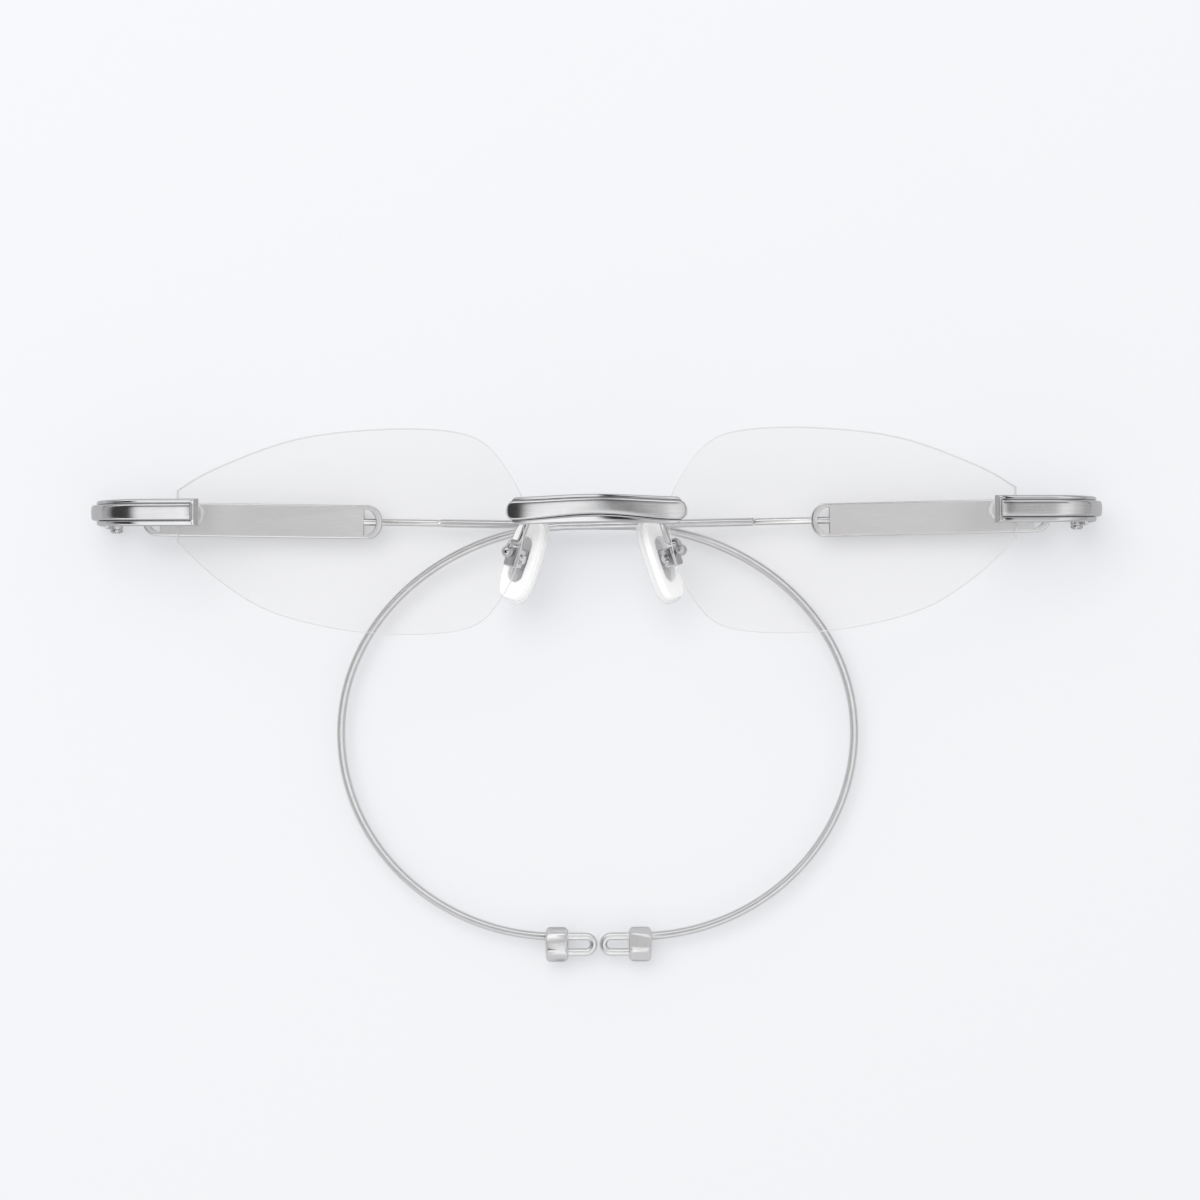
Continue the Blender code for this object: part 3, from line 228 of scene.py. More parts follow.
# The films on them: scale, and the two roughnesses between which each drifts
polish, edge_matt = (60.0, 0.0, 0.02), (900.0, 0.5, 0.7)
sides = {"left": -1, "right": 1}
same_point = 0.0005


def through(points, steps):
    """A smooth line through points, in any number of dimensions."""
    ends = [points[0]] + points + [points[-1]]
    line = []
    for a, b, c, d in zip(ends, ends[1:], ends[2:], ends[3:]):
        a, b, c, d = (np.array(point) for point in (a, b, c, d))
        for t in np.arange(steps) / steps:
            line.append(0.5 * (2 * b + (c - a) * t + (2 * a - 5 * b + 4 * c - d) * t ** 2
                               + (3 * b - a - 3 * c + d) * t ** 3))
    return line + [np.array(points[-1])]


def only(kind, made):
    return [item for item in made if isinstance(item, kind)]


def shift(x=0.0, y=0.0, z=0.0):
    return Matrix.Translation((x, y, z))


def turn(degrees, axis):
    return Matrix.Rotation(math.radians(degrees), 4, axis)


def aim(place, axis):
    """The place of something drawn up Z that should point along an axis."""
    return shift(*place) @ axis.to_track_quat("Z", "Y").to_matrix().to_4x4()


def move(shape, matrix, verts=None):
    bmesh.ops.transform(shape, matrix=matrix, verts=verts or shape.verts)


def pull(shape, faces, matrix, keep=False):
    """Extrude end faces, move the new ones, and leave none behind inside the solid."""
    made = bmesh.ops.extrude_face_region(shape, geom=faces)["geom"]
    move(shape, matrix, only(bmesh.types.BMVert, made))
    if not keep:
        bmesh.ops.delete(shape, geom=faces, context="FACES")
    return only(bmesh.types.BMFace, made)


def sharp_edges(shape, degrees=60):
    return [edge for edge in shape.edges if edge.calc_face_angle(0.0) > math.radians(degrees)]


def chamfer(shape, edges, width, segments=2, material=-1):
    bmesh.ops.bevel(
        shape, geom=edges, offset=width, segments=segments, profile=0.5, affect="EDGES", material=material,
        clamp_overlap=True,
    )


def face_out(shape):
    bmesh.ops.recalc_face_normals(shape, faces=shape.faces)


def to_mesh(shape, name, scale=1.0):
    bmesh.ops.remove_doubles(shape, verts=shape.verts, dist=same_point * scale)
    face_out(shape)
    mesh = bpy.data.meshes.new(name)
    shape.to_mesh(mesh)
    shape.free()
    return mesh


def applied(holders):
    """The shape of the first of some objects with its modifiers, after which they all go."""
    graph = bpy.context.evaluated_depsgraph_get()
    shape = bmesh.new()
    shape.from_mesh(holders[0].evaluated_get(graph).to_mesh())
    for holder in holders:
        mesh = holder.data
        bpy.data.objects.remove(holder)
        bpy.data.meshes.remove(mesh)
    return shape


def carve(shape, others, operation="DIFFERENCE"):
    """Cut other closed shapes out of one, join them to it, or keep what they share with it."""
    holders = [add("carving", to_mesh(part, "carving")) for part in [shape] + others]
    for other in holders[1:]:
        cut = holders[0].modifiers.new("carving", "BOOLEAN")
        cut.operation = operation
        cut.solver = "EXACT"
        cut.object = other
    return applied(holders)


def settle(
    shape, name, finishes, label="", replaced=(), body="front", place=None,
    smooth_below=32,
):
    """Put a finished shape, drawn for the right side, on its own side and on the body that carries it."""
    if label:
        name = f"{name}_{label}"
        replaced = [f"{solid}_{label}" for solid in replaced]
        body = body if body == "front" else f"{body}_{label}"
    if place is not None:
        move(shape, place)
    bmesh.ops.scale(shape, vec=(sides.get(label, 1) * mm, mm, mm), verts=shape.verts)
    mesh = to_mesh(shape, name, mm)
    for finish in finishes:
        mesh.materials.append(finish)
    mesh.shade_smooth()
    mesh.set_sharp_from_angle(angle=math.radians(smooth_below))
    piece = add(name, mesh)
    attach(piece, body)
    if replaced:
        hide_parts(*replaced)
    return piece


def round_bar(radius, start, end, segments=32):
    """A straight round bar between two points."""
    start, end = Vector(start), Vector(end)
    shape = bmesh.new()
    bmesh.ops.create_cone(
        shape, cap_ends=True, segments=segments, radius1=radius, radius2=radius, depth=(end - start).length,
        matrix=aim((start + end) / 2, end - start),
    )
    return shape


def lens_sag(x, y):
    return lens_radius - math.sqrt(lens_radius ** 2 - (x - lens_centre[0]) ** 2 - (y - lens_centre[1]) ** 2)


def effect(name, inputs, output):
    """A new node group with its inputs and its output, and the sockets and node at its ends."""
    group = bpy.data.node_groups.new(name, "ShaderNodeTree")
    for socket, kind in inputs.items():
        group.interface.new_socket(socket, in_out="INPUT", socket_type=kind)
    group.interface.new_socket(output, in_out="OUTPUT", socket_type="NodeSocketFloat")
    return group, group.nodes.new("NodeGroupInput").outputs, group.nodes.new("NodeGroupOutput")


# Shared effect: the faint cloudy film that handling leaves, as a value between Low and High
handling_film, given, result = effect(
    "handling_film", {name: "NodeSocketFloat" for name in ("Scale", "Low", "High")}, "Mask",
)
surface = node(handling_film, "ShaderNodeTexCoord").outputs["Object"]
clouds = node(handling_film, "ShaderNodeTexNoise", {
    "Vector": surface, "Scale": given["Scale"], "Detail": 3.0, "Roughness": 0.55,
}).outputs["Fac"]
drift = node(handling_film, "ShaderNodeMapRange", {
    "Value": clouds, "From Min": 0.3, "From Max": 0.7, "To Min": given["Low"], "To Max": given["High"],
}).outputs["Result"]
feed(handling_film, result, {"Mask": drift})


def film(tree, scale, low, high):
    """A value that drifts between two others over the surface."""
    values = {"Scale": scale, "Low": low, "High": high}
    return node(tree, "ShaderNodeGroup", values, node_tree=handling_film).outputs["Mask"]


clear_lens, tree, shader = finish_of("clear_lens")
tree.nodes.remove(shader)
gloss = node(tree, "ShaderNodeBsdfGlossy", {"Color": (*white, 1.0), "Roughness": film(tree, *polish)})
see_through = node(tree, "ShaderNodeBsdfTransparent", {"Color": (*lens_tint, 1.0)})
facing = node(tree, "ShaderNodeLayerWeight", {"Blend": 0.5}).outputs["Facing"]
coat = blend(tree, maths(tree, "POWER", facing, coat_power), see_through.outputs[0], gloss.outputs[0])
feed(tree, tree.nodes["Material Output"], {"Surface": coat})

ground_edge, tree, shader = finish_of("ground_lens_edge")
feed(tree, shader, {
    "Base Color": (*edge_colour, 1.0), "IOR": plastic_ior, "Alpha": edge_alpha,
    "Roughness": film(tree, *edge_matt),
})

for label in sides:
    shape = bmesh.new()
    rim = [
        shape.verts.new((lens_centre[0] - x * lens_width / 2, lens_centre[1] + y * lens_height / 2, 0.0))
        for x, y in through(leaf, leaf_steps)
    ]
    ring = [shape.edges.new(pair) for pair in zip(rim, rim[1:] + rim[:1])]
    centre = shift(*lens_centre)
    last = 1.0
    for share in lens_rings:
        made = bmesh.ops.extrude_edge_only(shape, edges=ring)["geom"]
        ring, inner = only(bmesh.types.BMEdge, made), only(bmesh.types.BMVert, made)
        smaller = Matrix.Diagonal((share / last, share / last, 1.0, 1.0))
        move(shape, centre @ smaller @ centre.inverted(), inner)
        last = share
    bmesh.ops.pointmerge(shape, verts=inner, merge_co=(*lens_centre, 0.0))
    for vertex in shape.verts:
        vertex.co.z = lens_front - lens_sag(vertex.co.x, vertex.co.y)
    pull(shape, shape.faces[:], shift(z=-lens_thickness), keep=True)
    face_out(shape)
    for face in shape.faces:
        face.material_index = 1 if abs(face.normal.z) < edge_slope else 0
    rims = [
        edge for edge in sharp_edges(shape)
        if len({face.material_index for face in edge.link_faces}) == 2
    ]
    chamfer(shape, rims, lens_bevel, material=1)
    holes = [
        round_bar(stud_hole, (x, brow_y, lens_front + hole_ahead), (x, brow_y, lens_front - hole_behind))
        for x in stud_x.values()
    ]
    shape = carve(shape, holes)
    settle(shape, "lens_blank", [clear_lens, ground_edge], label, ["lens"])

# Bridge
# A bar of rolled nickel-silver band, bowed to the front, arched a little and held by a stud behind each end.
# Its raised middle is brushed along its length and rolls over at both ends, and the narrow edges beside it
# are polished half rounds with a groove.
band_back, band_height, raised_height = 13.15, 3.9, 2.2
band_half, raised_half = band_height / 2, raised_height / 2
strip_thickness, band_thickness = 1.1, 1.9
groove_floor, groove_width = 0.62, 0.08
raised_crown, crown_steps = 0.12, 4
# The rounds of the section's corners: width and steps
corner_rounds = {"edge": (0.4, 5), "inner": (0.22, 4), "heel": (0.15, 2), "raised": (0.28, 6)}
brushed_above = strip_thickness + 0.05
bridge_half, bridge_strip_half = 12.85, 12.1
bridge_steps, bridge_end_steps = 40, 12
bridge_bow = 0.65
top_arch, upper_lift, lower_rise, lower_drop, foot_arch = 0.42, 0.3, 0.85, 0.25, 0.22
bead_round, bead_taper = 1.0, 0.8
roll_start, roll_share = 8.6, 0.005
bridge_end_round, bridge_corner_round, bridge_end_edge = 0.26, 1.0, 0.1
bridge_same_point = 0.016
film_scale = 260.0
nickel = (0.67, 0.67, 0.68)
# Within a hair's breadth two places count as one
hair = 0.01

# Shared effect: hair-fine brush lines, stretched along the piece's axes, as a mask from 0 to 1
brush_lines, given, result = effect("brush_lines", {"Stretch": "NodeSocketVector"}, "Lines")
surface = node(brush_lines, "ShaderNodeTexCoord").outputs["Object"]
stretched = node(
    brush_lines, "ShaderNodeVectorMath", {0: surface, 1: given["Stretch"]}, operation="MULTIPLY",
).outputs[0]
grain = node(brush_lines, "ShaderNodeTexNoise", {
    "Vector": stretched, "Scale": 1.0, "Detail": 4.0, "Roughness": 0.6,
}).outputs["Fac"]
lines = node(brush_lines, "ShaderNodeMapRange", {"Value": grain, "From Min": 0.25, "From Max": 0.75})
feed(brush_lines, result, {"Lines": lines.outputs["Result"]})


def metal(name, colour, roughness, stretch, depth=0.0, tone=0.05, rough_spread=0.06):
    """A bare metal whose brush lines shade its colour, its roughness and its surface."""
    material, tree, shader = finish_of(name)
    mask = node(tree, "ShaderNodeGroup", {"Stretch": stretch}, node_tree=brush_lines).outputs["Lines"]
    darker = [value * (1 - tone) for value in colour]
    lighter = [min(value * (1 + tone), 1.0) for value in colour]
    worn = film(tree, film_scale, 0.0, rough_spread)
    rough = maths(tree, "ADD", maths(tree, "MULTIPLY_ADD", mask, rough_spread, worn), roughness)
    shades = tones(tree, mask, darker, lighter)
    feed(tree, shader, {"Metallic": 1.0, "Base Color": shades, "Roughness": rough})
    if depth > 0:
        bump = node(tree, "ShaderNodeBump", {"Height": mask, "Strength": 1.0, "Distance": depth * mm})
        feed(tree, shader, {"Normal": bump.outputs["Normal"]})
    return material


polished = metal("polished_nickel", nickel, 0.04, (900.0, 900.0, 900.0), tone=0.02, rough_spread=0.03)
brushed = metal("brushed_nickel", nickel, 0.13, (250.0, 9000.0, 250.0), 0.002, tone=0.07, rough_spread=0.03)


def band_section(shape):
    """The band's cross-section in Y and Z, its back on Z = 0: two edge rounds and the raised middle."""
    strip = {
        "heel": (band_half, 0.0), "edge": (band_half, strip_thickness),
        "inner": (raised_half + groove_width, strip_thickness),
    }
    corners = {name: [] for name in strip}
    foot, neck = (
        {sign: shape.verts.new((0.0, sign * raised_half, height)) for sign in (-1, 1)}
        for height in (0.0, groove_floor)
    )
    for sign in (-1, 1):
        for name, (y, z) in strip.items():
            corners[name].append(shape.verts.new((0.0, sign * y, z)))
        shape.faces.new((foot[sign], *(made[-1] for made in corners.values()), neck[sign]))
    across = [raised_half * step / crown_steps for step in range(crown_steps, -crown_steps - 1, -1)]
    top = [
        shape.verts.new((0.0, y, band_thickness - raised_crown * (y / raised_half) ** 2)) for y in across
    ]
    corners["raised"] = [top[0], top[-1]]
    shape.faces.new((foot[-1], foot[1], neck[1], *top, neck[-1]))
    for name, (width, segments) in corner_rounds.items():
        bmesh.ops.bevel(
            shape, geom=corners[name], offset=width, segments=segments, profile=0.5, affect="VERTICES",
            material=-1,
        )
    return shape.faces[:]


def pull_along(shape, ends, start, stops, closed=False):
    """Pull end faces along X from stop to stop, leaving a face to close the start if asked to."""
    for index, stop in enumerate(stops):
        ends = pull(shape, ends, shift(x=stop - start), keep=closed and index == 0)
        start = stop
    return ends


def by_finish(shape):
    """Brushed on top of the raised middle, polished elsewhere. The band still lies straight along X."""
    face_out(shape)
    for face in shape.faces:
        centre = face.calc_center_median()
        face.material_index = 1 if centre.z > brushed_above and abs(centre.y) <= raised_half else 0


def runs_along(edge, axis):
    return abs(edge.verts[0].co[axis] - edge.verts[1].co[axis]) > hair


def sunk(x, half, radius):
    """How far a quarter round at both ends of a length has dropped at a distance from its middle."""
    past = max(abs(x) - (half - radius), 0.0)
    return radius - math.sqrt(max(radius ** 2 - past ** 2, 0.0))


def over_band(y, rises):
    """A rise given at the lower edge, the raised middle's two sides and the upper edge, even between."""
    return np.interp(y, (-band_half, -raised_half, raised_half, band_half), rises)


shape = bmesh.new()
stops = [bridge_strip_half * step / bridge_steps for step in range(1, bridge_steps + 1)]
ends = pull_along(shape, band_section(shape), 0.0, stops)
ends = [face for face in ends if abs(face.calc_center_median().y) < hair]
rounded = [math.sin(math.pi / 2 * step / bridge_end_steps) for step in range(1, bridge_end_steps + 1)]
rounded = [bridge_strip_half + (bridge_half - bridge_strip_half) * share for share in rounded]
pull_along(shape, ends, stops[-1], rounded)
bmesh.ops.mirror(shape, geom=shape.verts[:] + shape.edges[:] + shape.faces[:], axis="X", merge_dist=0.001)
by_finish(shape)
chamfer(shape, [edge for edge in sharp_edges(shape) if not runs_along(edge, 0)], bridge_end_edge, 3)
for vertex in shape.verts:
    x, y, z = vertex.co
    if abs(y) > raised_half:
        taper = 1 - bead_taper * sunk(x, bridge_strip_half, bead_round) / bead_round
        y = math.copysign(raised_half + (abs(y) - raised_half) * taper, y)
    y *= 1 - sunk(x, bridge_half, bridge_corner_round) / raised_half
    drop = sunk(x, bridge_half, bridge_end_round) + roll_share * max(abs(x) - roll_start, 0.0) ** 3
    z *= (band_thickness - drop) / band_thickness
    wave = 0.5 * (1 + math.cos(math.pi * x / bridge_half))
    arch = top_arch * wave
    rise = over_band(y, (foot_arch * wave, lower_rise * wave - lower_drop, arch + upper_lift, arch))
    bow = bridge_bow * (1 - (x / bridge_half) ** 2)
    vertex.co = (x, brow_y + y + rise, band_back + bow + z)
bmesh.ops.remove_doubles(shape, verts=shape.verts, dist=bridge_same_point)
settle(shape, "bridge_band", [polished, brushed], replaced=["bridge"])

# Endpieces
# Two pieces of the same band, bent back into a J behind the temple edges and held by a stud each. Towards the
# nose the raised middle stops short of a thin bead across the band, and the cut end is chamfered. The arm is
# a little lower.
endpiece_start, arm_inner = 56.9, 71.1
bend_length, bend_steps = 10.4, 60
end_chamfer, cross_bead, cross_groove, cross_groove_depth = 0.55, 0.95, 1.08, 0.1
pressed_above, cut_height, chamfer_rise = 0.3, 0.5, 0.48
bead_overlap, bead_flat, bead_crown = 0.3, 0.05, 0.1
inner_roll, inner_roll_share = 3.4, 0.0045
upper_shift = 0.15
arm_narrowing, narrowing_start, narrowing_end = 0.08, 7.0, 17.0


def ease(start, end, value):
    share = min(max((value - start) / (end - start), 0.0), 1.0)
    return share * share * (3 - 2 * share)


# The bend starts and ends gently: how far its back line has come over and down after each small step
step_turns = [math.pi / 2 * ease(0, bend_steps, step + 0.5) for step in range(bend_steps)]
bend_over, bend_down = (
    np.append(0.0, np.cumsum(np.array([way(bent) for bent in step_turns]) * bend_length / bend_steps))
    for way in (math.cos, math.sin)
)
straight_length = arm_inner - endpiece_start - bend_over[-1]
arm_length = band_back - bend_down[-1]


def bend_endpiece(s, z):
    """The place in X and Z of a point s along the straight band and z in front of its back."""
    past = min(max(s - straight_length, 0.0), bend_length)
    bent = math.pi / 2 * ease(0, bend_length, past)
    over, down = (
        np.interp(past / bend_length * bend_steps, range(bend_steps + 1), line)
        for line in (bend_over, bend_down)
    )
    beyond = max(s - straight_length - bend_length, 0.0)
    x = endpiece_start + min(s, straight_length) + over + z * math.sin(bent)
    return x, band_back - down - beyond + z * math.cos(bent)


def press_end(s, y, z):
    """How high the front stands near the cut end: chamfer, crossing bead, groove, then the full section."""
    if z < pressed_above:
        return z
    z -= inner_roll_share * min(max(inner_roll - s, 0.0), inner_roll - cross_groove) ** 3
    if s < cross_bead and abs(y) < raised_half + bead_overlap:
        z = max(min(z, strip_thickness), strip_thickness - bead_flat)
    if s < end_chamfer:
        return min(z, cut_height + chamfer_rise * s / end_chamfer)
    if s < cross_bead:
        off_middle = (s - (end_chamfer + cross_bead) / 2) / (cross_bead - end_chamfer) * 2
        return min(z, strip_thickness - bead_crown * off_middle ** 4)
    if s < cross_groove and abs(y) < raised_half + hair:
        return min(z, strip_thickness - cross_groove_depth)
    return z


cuts = [0.14, 0.28, 0.42, 0.55, 0.61, 0.67, 0.75, 0.83, 0.89, 0.949, 0.96, 1.07, 1.09, 1.15]
for length, steps in ((straight_length - cuts[-1], 16), (bend_length, 36), (arm_length, 8)):
    start = cuts[-1]
    cuts += [start + length * step / steps for step in range(1, steps + 1)]
for label in sides:
    shape = bmesh.new()
    pull_along(shape, band_section(shape), 0.0, cuts, closed=True)
    by_finish(shape)
    for vertex in shape.verts:
        s, y, z = vertex.co
        z = press_end(s, y, z)
        y += over_band(y, (0.0, 0.0, upper_shift, 0.0))
        y *= 1 - arm_narrowing * ease(narrowing_start, narrowing_end, s)
        x, z = bend_endpiece(s, z)
        vertex.co = (x, brow_y + y, z)
    settle(shape, "endpiece_band", [polished, brushed], label, ["endpiece"])

# Studs and shoulders
# Threaded studs soldered behind the bridge and the endpieces, which hold the lenses, and a small block
# behind each endpiece that keeps the lens from turning.
stud_radius, stud_low, stud_top = 0.6, 8.95, 13.45
# The rounding of a stud's end: how far in from its side and up from its end
stud_end = ((0.16, 0.0), (0.08, 0.06))
thread_pitch, thread_depth, thread_start, thread_margin = 0.25, 0.07, 0.1, 0.4
shoulder_low, shoulder_high, shoulder_round = (60.3, -1.2, 11.55), (61.1, 1.2, 13.4), 0.15


def turned(profile, place, closed=False, steps=40):
    """A turned shape from its outline, given as radius and height pairs, put in its place."""
    shape = bmesh.new()
    line = [shape.verts.new((radius, 0.0, height)) for radius, height in profile]
    edges = [shape.edges.new(pair) for pair in zip(line, line[1:] + line[:1] if closed else line[1:])]
    bmesh.ops.spin(
        shape, geom=line + edges, cent=(0, 0, 0), axis=(0, 0, 1), dvec=(0, 0, 0), angle=math.tau,
        steps=steps, use_merge=True, use_duplicate=False,
    )
    bmesh.ops.remove_doubles(shape, verts=shape.verts, dist=same_point)
    face_out(shape)
    move(shape, place)
    return shape


def block(low, high):
    """A plain block between two corners."""
    shape = bmesh.new()
    low, high = Vector(low), Vector(high)
    place = Matrix.Translation((low + high) / 2) @ Matrix.Diagonal((*(high - low), 1.0))
    bmesh.ops.create_cube(shape, size=1.0, matrix=place)
    return shape


for label in sides:
    for part, x in stud_x.items():
        profile = [(0.0, stud_low), *((stud_radius - inward, stud_low + up) for inward, up in stud_end)]
        height = stud_low + thread_start
        while height < band_back - thread_margin:
            profile += [(stud_radius, height), (stud_radius - thread_depth, height + thread_pitch / 2)]
            height += thread_pitch
        profile += [(stud_radius, height), (stud_radius, stud_top), (0.0, stud_top)]
        shape = turned(profile, shift(x, brow_y), steps=32)
        settle(shape, f"{part}_stud", [polished], label)
    shape = block(shoulder_low, shoulder_high)
    move(shape, shift(y=brow_y))
    chamfer(shape, shape.edges[:], shoulder_round, 3)
    settle(shape, "endpiece_shoulder", [polished], label)

# Washers and nuts
# Clear moulded washers spare the back of each lens from the hexagon nuts, which are screwed on the studs.
washer_front, washer_thickness, washer_round, bore_edge = 10.9, 0.5, 0.1, 0.05
nut_front, nut_thickness, nut_bore = 10.35, 1.2, 0.68
nut_flat, nut_chamfer = 0.9, 0.14
bore_low, bore_high = 8.0, 12.0
fasteners = {"bridge": (1.25, 1.15), "endpiece": (1.7, 1.4)}
washer_colour, washer_ior, washer_alpha, washer_gloss = (0.98, 0.98, 0.985), 1.45, 0.45, (500.0, 0.05, 0.12)

clear_washer, tree, shader = finish_of("clear_washer")
feed(tree, shader, {
    "Base Color": (*washer_colour, 1.0), "IOR": washer_ior, "Alpha": washer_alpha,
    "Roughness": film(tree, *washer_gloss),
})


def soft_rim(radius, low, high, soft):
    """The outline of a turned piece's side, rounded towards both of its faces."""
    corner = ((soft, 0.0), (0.3 * soft, 0.3 * soft), (0.0, soft))
    lower = [(radius - inward, low + up) for inward, up in corner]
    return lower + [(radius - inward, high - down) for inward, down in reversed(corner)]


def hexagon(radius, height, place):
    shape = bmesh.new()
    bmesh.ops.create_cone(
        shape, cap_ends=True, segments=6, radius1=radius, radius2=radius, depth=height, matrix=place,
    )
    return shape


for label in sides:
    for part, (washer_radius, nut_radius) in fasteners.items():
        place = shift(stud_x[part], brow_y)
        back = washer_front - washer_thickness
        profile = [
            (nut_bore, back + bore_edge), (nut_bore + bore_edge, back),
            *soft_rim(washer_radius, back, washer_front, washer_round),
            (nut_bore + bore_edge, washer_front), (nut_bore, washer_front - bore_edge),
        ]
        shape = turned(profile, place, closed=True, steps=56)
        settle(shape, f"clear_washer_{part}", [clear_washer], label, [f"{part}_washer"])

        back = nut_front - nut_thickness
        shape = hexagon(nut_radius, nut_thickness, place @ shift(z=(nut_front + back) / 2))
        flat, corner = nut_radius * nut_flat, nut_radius + hair
        profile = [
            (0.0, back), (flat, back), (corner, back + nut_chamfer),
            (corner, nut_front - nut_chamfer), (flat, nut_front), (0.0, nut_front),
        ]
        shape = carve(shape, [turned(profile, place, steps=56)], "INTERSECT")
        ends = (place @ Vector((0, 0, height)) for height in (bore_high, bore_low))
        shape = carve(shape, [round_bar(nut_bore, *ends)])
        settle(shape, f"hexagon_nut_{part}", [polished], label, [f"{part}_nut"])

# Hinges
# A leaf soldered inside each endpiece arm carries two knuckles, the temple's knuckle sits between them,
# and a slotted screw goes up through all three. They are satin nickel, and the screw is bright.
hinge_x, hinge_y, hinge_z = 70.1, 26.62, 3.0
knuckle_radius, knuckle_round, hinge_bore, bore_reach = 0.9, 0.09, 0.5, 3.0
temple_knuckle_half, front_knuckle_low, front_knuckle_high = 0.85, 0.93, 1.93
leaf_low, leaf_high, leaf_round = (70.65, -1.93, 1.4), (71.05, 1.93, 7.4), 0.6
screw_radius, screw_past, screw_head_radius, screw_head_height = 0.42, 0.4, 0.9, 0.5
# The dome of the screw's head, as shares of its radius and height, and the depth and half width of its slot
screw_dome = ((0.0, 1.0), (0.55, 1.0), (0.85, 0.82), (1.0, 0.4))
screw_head_edge, screw_slot_depth, slot_half_width, slot_reach = 0.05, 0.25, 0.15, 2.0
screw_tip, screw_tip_round = 0.15, 0.12
temple_line_y, temple_slope = 26.27, math.radians(1.05)
plate_outer, plate_inner, window_base = 66.3, 31.3, 2.66
wire_seat, wire_radius, wire_bore, shank_start = 1.5, 0.5, 0.58, 0.7
# The play between pieces that sit in each other
play = 0.08

satin = metal("satin_nickel", (0.80, 0.80, 0.81), 0.36, (7000.0, 7000.0, 7000.0), 0.0012)


def temple_point(x, z=hinge_z):
    """A point of the sloping temple line at a distance x from the middle plane."""
    return Vector((x, temple_line_y - (hinge_x - x) * math.tan(temple_slope), z))


def on_hinge(y):
    """The hinge's axis, pointing up the face, from a height over its middle."""
    return shift(hinge_x, hinge_y + y, hinge_z) @ turn(-90, "X")


def knuckle(low, high):
    side_line = soft_rim(knuckle_radius, 0.0, high - low, knuckle_round)
    return turned([(0.0, 0.0), *side_line, (0.0, high - low)], on_hinge(low), steps=48)


def pin(radius, half):
    """A round bar on the hinge's axis, as long both ways from its middle."""
    return round_bar(radius, (hinge_x, hinge_y - half, hinge_z), (hinge_x, hinge_y + half, hinge_z), 40)


for label in sides:
    shape = block(leaf_low, leaf_high)
    move(shape, shift(y=hinge_y))
    chamfer(shape, [edge for edge in shape.edges if runs_along(edge, 0)], leaf_round, 6)
    heights = ((-front_knuckle_high, -front_knuckle_low), (front_knuckle_low, front_knuckle_high))
    shape = carve(shape, [knuckle(low, high) for low, high in heights], "UNION")
    shape = carve(shape, [pin(knuckle_radius + play, front_knuckle_low), pin(hinge_bore, bore_reach)])
    settle(shape, "hinge_leaf", [satin], label, ["front_hinge"])

    head_top = -front_knuckle_high - play
    tip = front_knuckle_high + screw_past
    profile = [(screw_head_radius * out, head_top - screw_head_height * down) for out, down in screw_dome]
    profile += [
        (screw_head_radius, head_top - screw_head_edge), (screw_head_radius - screw_head_edge, head_top),
        (screw_radius, head_top), (screw_radius, tip - screw_tip), (screw_radius - screw_tip_round, tip),
        (0.0, tip),
    ]
    slot_floor = hinge_y + head_top - screw_head_height + screw_slot_depth
    slot = block(
        (hinge_x - slot_half_width, slot_floor - slot_reach, hinge_z - slot_reach),
        (hinge_x + slot_half_width, slot_floor, hinge_z + slot_reach),
    )
    shape = carve(turned(profile, on_hinge(0.0), steps=48), [slot])
    settle(shape, "slotted_hinge_screw", [polished], label, ["hinge_screw"])

    shank_end = plate_outer - window_base - wire_seat
    shank = round_bar(wire_radius, temple_point(hinge_x - shank_start), temple_point(shank_end), 40)
    shape = carve(knuckle(-temple_knuckle_half, temple_knuckle_half), [shank], "UNION")
    shape = carve(shape, [pin(hinge_bore, bore_reach)])
    settle(shape, "temple_knuckle", [satin], label, ["temple_hinge"], "temple")

# Temple plates
# Flat strips of satin titanium sheet with rounded ends and polished rounded edges. A D-shaped window is
# pierced near each end, and the hinge shank and the ear wire run through the windows into bores.
plate_length, plate_height, plate_thickness = 35.0, 4.92, 1.6
plate_end_round, plate_edge, window_edge = 2.1, 0.2, 0.07
window_width, window_height, window_rim, window_reach = 1.8, 3.7, 0.86, 2.0
face_slope = 0.9

plate_satin = metal("satin_titanium", (0.88, 0.88, 0.885), 0.50, (500.0, 9000.0, 9000.0), 0.0012)
plate_edges = metal("polished_titanium", (0.80, 0.80, 0.81), 0.12, (900.0, 900.0, 900.0), tone=0.03)


def plate(length, width, end_round, thickness, segments=64):
    """A flat plate with straight sides and elliptic ends, lying round the origin."""
    shape = bmesh.new()
    bmesh.ops.create_circle(shape, cap_ends=True, segments=segments, radius=1.0)
    for vertex in shape.verts:
        ahead = math.copysign(length / 2 - end_round, vertex.co.x) if abs(vertex.co.x) > 1e-6 else 0.0
        vertex.co = (vertex.co.x * end_round + ahead, vertex.co.y * (width / 2), 0.0)
    move(shape, shift(z=-thickness / 2))
    pull(shape, shape.faces[:], shift(z=thickness), keep=True)
    return shape


def plate_window(end):
    """A D-shaped cutter whose straight side stands towards one end of the plate, -1 or 1."""
    shape = bmesh.new()
    bmesh.ops.create_circle(shape, cap_ends=True, segments=48, radius=1.0)
    bmesh.ops.bisect_plane(
        shape, geom=shape.verts[:] + shape.edges[:] + shape.faces[:], plane_co=(0, 0, 0),
        plane_no=(-end, 0, 0), clear_outer=True,
    )
    for vertex in shape.verts:
        x = end * (plate_length / 2 - window_base) + vertex.co.x * window_width
        vertex.co = (x, vertex.co.y * window_height / 2, -window_reach)
    pull(shape, shape.faces[:], shift(z=2 * window_reach), keep=True)
    return shape


